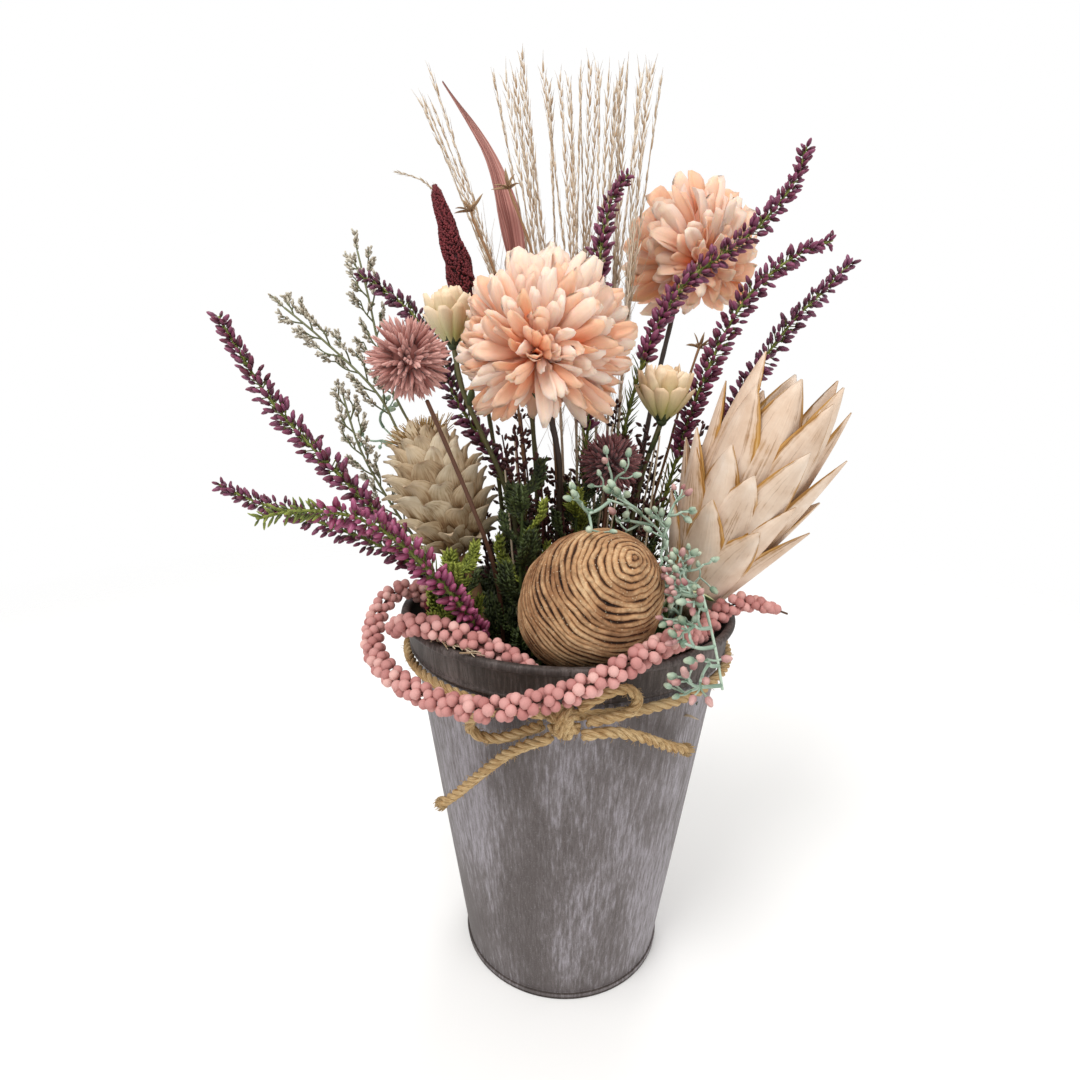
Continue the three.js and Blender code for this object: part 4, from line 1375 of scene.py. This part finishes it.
def makeGrassBlade():
    tint = plantFinish("variegated blade", "2f4a24", "4f6b34", veins=14, roughness=0.5)
    edge = tint.read("across")
    rim = tint.ramp(edge, (0.0, 1.0), (0.09, 1.0), (0.2, 0.0), (0.8, 0.0), (0.91, 1.0), (1.0, 1.0))
    green = tint.ramp(tint.mottle(500, stretch=(1, 1, 0.1)), (0.3, "2c4722"), (0.7, "5b7a3c"))
    tint.paint(tint.blendOf(rim, green, "cfd6a4"))
    line = spineOf("grass_blade")
    growth = Growth()

    def width(share):
        return 6.5 * mm * math.sin(math.pi * min(1, 0.12 + share * 0.88)) ** 0.6 + 0.4 * mm

    growth.add(ribbon(line, 0.0, 1, width, 0.35 * mm, 50, lambda s: 0.3, ribs=3), shade=0.5)
    growth.piece("grass_blade_leaf", [tint], ["grass_blade"])


# Berry sprays: mint stalks that fork and fork again, with oval berries

# reach is each fork's length in millimetres, and lean draws the forks one way
berryLook = {
    "berry_spray_front": {"reach": 27, "forks": 12, "pink": 0.14, "lean": (0.1, -0.25, 0.0)},
    "berry_spray_low": {"reach": 23, "forks": 13, "pink": 0.6, "lean": (-1.9, -0.5, 0.9)},
    "berry_spray_right": {"reach": 22, "forks": 11, "pink": 0.2, "lean": (0.3, 0.0, 0.0)},
    "berry_spray_left": {"reach": 20, "forks": 9, "pink": 0.05, "lean": (-0.2, 0.0, 0.1)},
}
mintStem = plantFinish("mint stalk", "7fa58a", "bcd8bf", roughness=0.75, pale="dde9dc", spread=0.45,
                       depth=0.1 * mm)
mintBerry = plantFinish("mint berries", "84ab90", "c2d6b8", roughness=0.7, pale="e8eedd", spread=0.4,
                        depth=0.08 * mm)
roseBerry = plantFinish("rose berries", "a5666a", "d3a09a", roughness=0.7, pale="ecc9bf", spread=0.4,
                        depth=0.08 * mm)
berryShape = turnedDrop([(0, 0), (0.36, 0.1), (0.5, 0.45), (0.3, 0.88), (0.14, 1.0), (0, 0.97)], 7)


def sprig(growth, foot, lean, reach, depth, rng, pink):
    bend = unit(np.array([rng.uniform(-1, 1), rng.uniform(-1, 1), rng.uniform(-0.2, 1)]))
    tip = foot + unit(lean + bend * 0.25) * reach
    growth.add(tube(smooth([foot, foot + lean * reach * 0.55, tip], 4),
                    np.linspace(0.42 + 0.2 * depth, 0.36 + 0.16 * depth, 9) * mm, 5), shade=rng.random())
    if depth > 0:
        for k in range(2 + (rng.random() < 0.5)):
            spread = unit(np.array([rng.gauss(0, 1), rng.gauss(0, 1), rng.gauss(0.2, 1)]))
            base = tip if k < 2 else foot + (tip - foot) * rng.uniform(0.4, 0.8)
            branch = unit(lean * 0.9 + spread * 0.85)
            sprig(growth, base, branch, reach * rng.uniform(0.55, 0.8), depth - 1, rng, pink)
    else:
        size = rng.uniform(2.1, 3.2) * mm
        growth.add(berryShape, tip - lean * 0.3 * mm, axes(unit(tip - foot)), (size, size, size * 1.35),
                   rng.random(), 2 if rng.random() < pink else 1)


def makeBerrySpray(node, seed):
    rng = random.Random(seed)
    look = berryLook[node]
    line = spineOf(node)
    growth = Growth()
    stemTube(growth, line, 0, 0.97, (1.0 * mm, 0.5 * mm))
    for i in range(look["forks"]):
        share = 0.4 + 0.56 * i / (look["forks"] - 1)
        way = axes(line.way(share), (0, 1, 0))
        turn = i * goldenAngle + seed
        out = outward(way, turn)
        lean = unit(out * 0.9 + way[2] * 0.8 + np.array(look["lean"]))
        sprig(growth, line.at(share), lean, look["reach"] * 0.42 * mm * rng.uniform(0.8, 1.1),
              2, rng, look["pink"])
    growth.piece(node + "_berries", [mintStem, mintBerry, roseBerry], [node])


# Dried heads: artichoke, protea and the cedar cone

def headFrame(node):
    line = spineOf(node)
    return line, axes(line.way(0.5))


artichokeLook = {"scales": 78, "wide": 14.5 * mm, "long": 16.5 * mm}


def makeArtichoke():
    rng = random.Random(61)
    tint = Finish("dried artichoke", Specular_IOR_Level=0.25)
    along, shade = tint.read("along"), tint.read("shade")
    vein = tint.mottle(1.0, 4.0, where=tint.onBlade(2.0, 20.0))
    patch = tint.mottle(110, 4.0)
    tone = tint.ramp(vein * 0.4 + patch * 0.4 + along * 0.25, (0.28, "6b4a30"), (0.42, "a58a68"),
                     (0.55, "d6c5a6"), (0.78, "eee3cd"))
    tone = tint.blendOf(shade * 0.45, tone, "b9986f", "MULTIPLY")
    tone = tint.blendOf(tint.ramp(along, (0.86, 0.0), (1.0, 0.6)), tone, "8a6440")
    tint.paint(tone).rough(0.85)
    tint.relief(vein * 0.7 + patch, 0.4 * mm)
    line, way = headFrame("artichoke_head")
    growth = Growth()
    core = line.part(0, 0.96, 20)
    growth.add(tube(core, [line.girth(s) * 0.78 for s in np.linspace(0, 0.96, 20)], 16), shade=0.0)
    count = artichokeLook["scales"]
    for i in range(count):
        share = 0.02 + 0.9 * (i / count)
        turn = i * goldenAngle
        out = outward(way, turn)
        girth = line.girth(share)
        size = (0.72 + 0.42 * math.sin(math.pi * min(1, share * 1.1 + 0.1))) * rng.uniform(0.9, 1.08)
        slope = (line.girth(min(1, share + 0.08)) - line.girth(max(0, share - 0.08))) / (line.length * 0.16)
        lean = unit(way[2] + out * (slope + 0.12))
        growth.add(blade(artichokeLook["long"] * size, artichokeLook["wide"] * size, pointedOutline, cup=0.5,
                         start=-0.1, curl=rng.uniform(-1.5, -0.5), curlPower=3, thick=1.3 * mm, rows=6,
                         columns=4, ruffle=0.3 * mm, phase=rng.uniform(0, 6)),
                   line.at(share) + out * (girth * 0.86), axes(lean, -out, rng.uniform(-0.1, 0.1)),
                   shade=rng.random())
    for i in range(240):      # the tuft of straw at its top
        turn, open_ = rng.uniform(0, 6.3), rng.random()
        out = outward(way, turn)
        foot = line.at(0.9) + out * open_ * 9 * mm
        lean = unit(way[2] + out * open_ * 1.0 + scatter(rng, 0.2))
        reach = rng.uniform(7, 14) * mm
        tip = foot + lean * reach + out * rng.uniform(-1, 2) * mm
        hair = smooth([foot, foot + lean * reach * 0.6, tip], 3)
        growth.add(tube(hair, np.linspace(0.35, 0.15, len(hair)) * mm, 4), shade=rng.random(), finish=1)
    growth.piece("artichoke_scales", [tint, goldFibre], ["artichoke_head"])
    stem = Growth()
    line = spineOf("artichoke_stem")
    stemTube(stem, line, 0, 1, (2.6 * mm, 2.9 * mm), sides=10, bumps=0.03)
    stem.piece("artichoke_stalk", [twigBrown], ["artichoke_stem"])


proteaLook = {"whorls": 5, "each": 7, "wide": 25 * mm}


def bractOutline(u):
    if u < 0.42:
        return 0.55 + 0.45 * math.sin(u / 0.42 * math.pi / 2)
    return max(0.02, math.cos((u - 0.42) / 0.58 * math.pi / 2)) ** 0.85


def makeProtea():
    rng = random.Random(71)
    tint = Finish("whitewashed protea", Specular_IOR_Level=0.3)
    along, shade, across = tint.read("along"), tint.read("shade"), tint.read("across")
    vein = tint.mottle(1.0, 4.0, where=tint.onBlade(1.6, 26.0))
    patch = tint.mottle(70, 4.0)
    edge = abs(across - 0.5) * 2
    wood = tint.ramp(vein, (0.3, "8a5f30"), (0.55, "c2924c"), (0.8, "dcbb7e"))
    wash = tint.ramp(patch, (0.35, "d9c0aa"), (0.6, "ecdac8"), (0.8, "f7ede2"))
    cover = tint.ramp(vein * 0.5 + patch * 0.5 + along * 0.14 - edge ** 5.0 * 0.3,
                      (0.38, 0.0), (0.52, 0.92))
    tone = tint.blendOf(cover, wood, wash)
    tone = tint.blendOf(shade * 0.25, tone, "d9b48c", "MULTIPLY")
    tint.paint(tone).rough(0.8)
    tint.relief(vein * 0.8 + cover * 0.4, 0.35 * mm)
    line, way = headFrame("protea_head")
    growth = Growth()
    most = max(line.radii)
    core = line.part(0, 0.7, 20)
    growth.add(tube(core, [line.girth(s) * 0.66 for s in np.linspace(0, 0.7, 20)], 16), shade=0.0, finish=1)
    whorls, each = proteaLook["whorls"], proteaLook["each"]
    for w in range(whorls):
        low = 0.0 + 0.46 * w / (whorls - 1)
        for k in range(each - (w > 2)):
            turn = (k + 0.5 * (w % 2)) * 2 * math.pi / (each - (w > 2)) + rng.uniform(-0.12, 0.12)
            out = outward(way, turn)
            start = low + rng.uniform(-0.02, 0.03)
            girth = line.girth(max(0.03, start))
            length = line.length * (0.52 + 0.06 * w / whorls) * rng.uniform(0.93, 1.07)
            if start * line.length + length > line.length * 1.04:
                length = line.length * 1.04 - start * line.length
            slope = (line.girth(min(1, start + 0.3)) - girth) / (line.length * 0.3)
            lean = unit(way[2] + out * (slope * 0.9 + 0.05))
            growth.add(blade(length, proteaLook["wide"] * rng.uniform(0.85, 1.05), bractOutline,
                             cup=0.55, start=-0.06,
                             curl=rng.uniform(0.0, 0.28) if w < 4 else rng.uniform(0.1, 0.35), curlPower=2,
                             thick=0.9 * mm, rows=10, columns=5, twist=rng.uniform(-0.15, 0.15)),
                       line.at(start) + out * (girth * 0.93 - w * 0.4 * mm),
                       axes(lean, -out, rng.uniform(-0.1, 0.1)), shade=rng.random())
    for i in range(160):       # golden fibres inside, seen through the gaps at the top
        turn, open_ = rng.uniform(0, 6.3), rng.random() ** 0.5
        out = outward(way, turn)
        foot = line.at(0.62) + out * open_ * most * 0.6
        lean = unit(way[2] + out * rng.uniform(-0.1, 0.15))
        reach = line.length * rng.uniform(0.12, 0.27)
        growth.add(tube(np.array([foot, foot + lean * reach * 0.6, foot + lean * reach]),
                        np.array([0.5, 0.4, 0.15]) * mm, 4), shade=rng.random(), finish=1)
    growth.piece("protea_bracts", [tint, goldFibre], ["protea_head"])
    stem = Growth()
    line = spineOf("protea_stem")
    stemTube(stem, line, 0, 1, (3.2 * mm, 3.6 * mm), sides=10, bumps=0.03)
    stem.piece("protea_stalk", [twigBrown], ["protea_stem"])


goldFibre = plantFinish("golden fibre", "7b5228", "c09a5c", veins=8, roughness=0.85, spread=0.4,
                        pale="d9bd8a")

coneLook = {"rings": 40, "sides": 112, "gap": 0.62 * mm}


def wavy(rng, turn, parts, size):
    # a smooth closed ripple round the cone
    total = np.zeros(len(turn))
    for low, high in parts:
        total += math.sqrt(1 / low) * np.sin(turn * rng.randint(low, high) + rng.uniform(0, 6.3))
    return total * size


def makeCone():
    rng = random.Random(81)
    tint = Finish("cedar cone", Specular_IOR_Level=0.25)
    # the value stored as along is low where the surface sinks between scale rings and high on the lips and
    # bumps; the ramp turns it from near-black to pale, so it is painted shade in the crevices and painted
    # light on the lips, with real patches mixed in
    light = tint.read("along")
    grain = tint.mottle(520, 5.0)
    patch = tint.mottle(45, 4.0)
    speck = tint.mottle(1300, 2.0)
    tone = tint.ramp(light + (patch - 0.5) * 0.5, (0.1, "180c07"), (0.36, "5e3c25"), (0.5, "a0734d"),
                     (0.8, "c0946a"), (1.0, "d8b48a"))
    tone = tint.blendOf(tint.ramp(patch, (0.35, 0.6), (0.55, 0.0)), tone, "8a5c3c", "MULTIPLY")
    tone = tint.blendOf(0.7, tone, tint.ramp(grain, (0.3, 0.4), (0.62, 1.0)), "MULTIPLY")
    tone = tint.blendOf(tint.ramp(speck, (0.64, 0.0), (0.72, 0.6)), tone, "ead7b4")
    tint.paint(tone).rough(0.86)
    tint.relief(grain + speck * 0.4, 0.4 * mm)
    line = spineOf("cedar_cone")
    girths = np.array([line.girth(s) for s in np.linspace(0, 1, 200)])
    growth = Growth()
    sides, rings = coneLook["sides"], coneLook["rings"]
    turn = np.linspace(0, 2 * math.pi, sides, endpoint=False)
    basis = axes(line.way(0.5))
    foot, length = line.at(0), line.length
    verts, depth = [], []
    # the surface is cut into steps of arc, one overlapping scale ring to each
    heights = np.linspace(0, 1, 200)
    arcs = np.concatenate([[0], np.cumsum(np.hypot(np.diff(girths), np.diff(heights) * length))])
    cuts = np.linspace(0.0, arcs[-1] * 0.985, rings + 1)
    pitch = cuts[1] - cuts[0]
    # each lip row is (share of the step, lift outward, tone); the tone is lowest where a row sinks between
    # rings, which paints shade into the crevices
    lips = [(0.0, -0.9, 0.0), (0.09, 0.1, 0.5), (0.45, 0.6, 0.9), (0.86, 0.45, 0.8),
            (0.95, -0.3, 0.3)]
    drift = wavy(rng, turn, ((1, 2), (2, 4), (3, 6)), 0.5 * pitch)
    for i in range(rings):
        calm = min(1, (rings - i) / 6, (i + 1) / 3)
        drift = 0.8 * drift + wavy(rng, turn, ((1, 3), (3, 7), (5, 11)), 0.34 * pitch)
        edge = wavy(rng, turn, ((6, 12), (13, 23), (24, 40)), 0.22 * pitch)
        lump = wavy(rng, turn, ((2, 5), (5, 12), (9, 20)), 0.16 * mm)
        for share, lift, tone in lips:
            mark = cuts[i] + pitch * share + (drift + edge * (0.3 + 0.7 * tone)) * calm * 0.6
            h = np.interp(mark, arcs, heights)
            g = np.interp(mark, arcs, girths)
            jag = 0.1 * mm * np.array([rng.uniform(-1, 1) for t in turn]) * tone
            r = np.maximum(g + lift * coneLook["gap"] + (jag + lump * tone) * calm, 0.25 * mm)
            verts.append(np.stack([r * np.cos(turn), r * np.sin(turn), h * length], -1))
            # the tone rises on raised lumps: painted light on the bumps
            depth.append(np.clip(tone + lump / mm * 0.5, 0, 1))
    n = len(verts)
    body = np.concatenate(verts + [[[0, 0, verts[0][0][2]], [0, 0, verts[-1][:, 2].max() + 0.4 * mm]]])
    faces = []
    for i in range(n - 1):
        for k in range(sides):
            a, b = i * sides + k, i * sides + (k + 1) % sides
            faces.append((a, b, b + sides, a + sides))
    faces += fan(n * sides, range(sides), True)
    faces += fan(n * sides + 1, range((n - 1) * sides, n * sides), False)
    around = np.concatenate([np.tile(turn / (2 * math.pi), n), [0, 0]])
    growth.add((body, faces, np.concatenate(depth + [[0.2, 0.7]]), around), foot, basis)
    growth.piece("cedar_cone_scales", [tint], ["cedar_cone"])
    pick = Growth()
    line = spineOf("cone_pick")
    stemTube(pick, line, 0, 1, (1.6 * mm, 1.6 * mm), sides=8)
    pick.piece("cone_pick_wood", [twigBrown], ["cone_pick"])


# The floral foam: crumbly dark moss over the block, and stray straw on the rim

def makeFoam():
    tint = Finish("dark floral foam", Specular_IOR_Level=0.1)
    grain = tint.mottle(700, 5.0)
    tint.paint(tint.ramp(grain, (0.3, "14110c"), (0.55, "2c2a1c"), (0.75, "4a4630"))).rough(0.95)
    tint.relief(grain, 0.6 * mm)
    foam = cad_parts["floral_foam"]
    foam.data.materials.clear()
    foam.data.materials.append(tint.material)


maroonSprig = plantFinish("maroon sprigs", "34120f", "5a2420", roughness=0.7, pale="6e3a30")
mossLook = {"tufts": 360, "fronds": 36, "low": 26 * mm, "high": 50 * mm, "straws": 34}
thicket = {"fronds": 40, "sprigs": 84, "low": 50 * mm, "high": 96 * mm, "spread": 56 * mm}


solidHeads = [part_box(name) for name in ("cedar_cone", "protea_head", "artichoke_head")]


def clearWay(foot, lean, reach, room=5 * mm):
    # true when a straight stem keeps outside the boxes of the large heads
    for share in (0.2, 0.4, 0.6, 0.8, 1.0):
        spot = foot + lean * reach * share
        for low, high in solidHeads:
            if all(low[c] - room < spot[c] < high[c] + room for c in range(3)):
                return False
    return True


def facing(out, rng):
    # the way a frond's flat side looks
    return unit(out + np.array([rng.gauss(0, 0.5), rng.gauss(0, 0.5), 0.1]))


def footAt(middle, away, turn, squash, back, height):
    # a foot on the foam, in an oval that lies towards the back
    aside, behind = away * math.cos(turn), squash * away * math.sin(turn)
    return np.array([middle.x + aside, middle.y + back + behind, height])


def makeMoss():
    # short dark leaves lie on the foam, and low fronds fill the mouth of the pot between the stems
    rng = random.Random(91)
    low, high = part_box("floral_foam")
    middle, radius, top = (low + high) / 2, (high.x - low.x) / 2, high.z
    growth = Growth()
    for k in range(mossLook["tufts"]):
        turn, away = rng.uniform(0, 6.3), radius * 0.97 * math.sqrt(rng.random())
        foot = np.array([middle.x + away * math.cos(turn), middle.y + away * math.sin(turn), top + 0.3 * mm])
        lean = unit(np.array([rng.gauss(0, 1), rng.gauss(0, 1), rng.uniform(0.6, 1.6)]))
        tuft = blade(rng.uniform(4, 13) * mm, rng.uniform(1.4, 2.6) * mm, leafOutline, cup=0.3,
                     curl=rng.uniform(-1, 1), rows=3, columns=2)
        growth.add(tuft, foot, axes(lean, roll=rng.uniform(0, 6)), shade=rng.random(),
                   finish=0 if rng.random() < 0.85 else 1)
    for k in range(mossLook["fronds"]):
        turn, away = k * goldenAngle, radius * 0.86 * math.sqrt((k + 0.5) / mossLook["fronds"])
        foot = np.array([middle.x + away * math.cos(turn), middle.y + away * math.sin(turn), top])
        out = np.array([math.cos(turn), math.sin(turn), 0])
        lean = unit(np.array([0, 0, 1.0]) + out * rng.uniform(-0.1, 0.35) * away / radius)
        reach = rng.uniform(mossLook["low"], mossLook["high"])
        if clearWay(foot, lean, reach):
            frond(growth, foot, lean, facing(out, rng), reach, rng, 0)
    growth.piece("foam_moss", [cypressDark, dryStraw], [])
    tall = Growth()     # taller dark sprays stand between the stems behind the cone
    for k in range(thicket["fronds"]):
        turn, away = k * goldenAngle + 0.4, thicket["spread"] * math.sqrt((k + 0.5) / thicket["fronds"])
        foot = footAt(middle, away, turn, 0.7, 8 * mm, top)
        out = np.array([math.cos(turn), math.sin(turn), 0])
        lean = unit(np.array([0, 0, 1.0]) + out * 0.32 * away / thicket["spread"])
        reach = rng.uniform(thicket["low"], thicket["high"])
        if clearWay(foot, lean, reach, 12 * mm):
            frond(tall, foot, lean, facing(out, rng), reach, rng, 0, 11)
    for k in range(thicket["sprigs"]):      # bare maroon sprigs with small dry buds
        turn, away = rng.uniform(0, 6.3), thicket["spread"] * 0.9 * math.sqrt(rng.random())
        foot = footAt(middle, away, turn, 0.6, 10 * mm, top)
        sideways = 0.35 * math.cos(turn) * away / thicket["spread"] + rng.gauss(0, 0.05)
        lean = unit(np.array([sideways, rng.gauss(0, 0.1), 1.0]))
        reach = rng.uniform(0.8, 1.35) * thicket["high"]
        if not clearWay(foot, lean, reach):
            continue
        stem = Line(smooth([foot, foot + lean * reach * 0.5, foot + lean * reach], 5))
        maroon = rng.random() < 0.7     # the others are bare straws
        tall.add(tube(stem.points, np.linspace(0.8, 0.4, len(stem.points)) * mm, 5), shade=rng.random(),
                 finish=2 if maroon else 3)
        for i in range(int(reach / (1.4 * mm)) if maroon else 0):
            share = rng.uniform(0.15, 1.0)
            lone = unit(np.array([rng.gauss(0, 1), rng.gauss(0, 1), rng.uniform(0.2, 1.5)]))
            tall.add(budSimple, stem.at(share) + lone * rng.uniform(0.5, 3.5) * mm, axes(lone),
                     (1.9 * mm, 1.9 * mm, 4.2 * mm), rng.random(), 2)
    tall.piece("green_thicket", [cypressDark, cypressLime, maroonSprig, dryStraw], [])
    # dry straw wisps hang over the near left of the rim
    wisps = Growth()
    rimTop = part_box("pot_body")[1]
    for k in range(mossLook["straws"]):
        turn = rng.uniform(3.75, 4.25)
        edge = np.array([math.cos(turn), math.sin(turn), 0])
        spot = edge * (rimTop.x - rng.uniform(1, 5) * mm)
        spot = spot + np.array([0, 0, rimTop.z + rng.uniform(0.4, 1.6) * mm])
        lean = unit(np.array([-edge[1], edge[0], 0]) * rng.choice((-1, 1)) + edge * rng.uniform(-0.6, 0.5))
        reach = rng.uniform(5, 13) * mm
        sway = np.array([rng.uniform(-1, 1), rng.uniform(-1, 1), rng.uniform(0, 1.5)]) * mm
        hair = smooth([spot - lean * reach * 0.5, spot + sway, spot + lean * reach * 0.5], 4)
        wisps.add(tube(hair, np.linspace(0.4, 0.16, len(hair)) * mm, 4), shade=rng.random())
    wisps.piece("rim_straw", [dryStraw], [])


makeFoldedLeaf()
for node, seed in (("umbel_twig_left", 51), ("umbel_twig_middle", 52), ("umbel_twig_right", 53)):
    makeUmbelTwig(node, seed)
for node, seed in (("statice_tall", 54), ("statice_long", 55), ("statice_short", 56)):
    makeStatice(node, seed)
for seed, node in enumerate(cypressFronds):
    makeCypress(node, 57 + seed)
makeGrassBlade()
print("leaf, twigs and greens are set")
for seed, node in enumerate(berryLook):
    makeBerrySpray(node, 65 + seed)
makeArtichoke()
makeProtea()
makeCone()
print("dried heads and berries are set")
makeFoam()
makeMoss()
print("foam is covered")

triangles = sum(len(p.vertices) - 2 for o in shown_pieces() if o.type == "MESH" for p in o.data.polygons)
print("the whole arrangement has", triangles, "triangles")
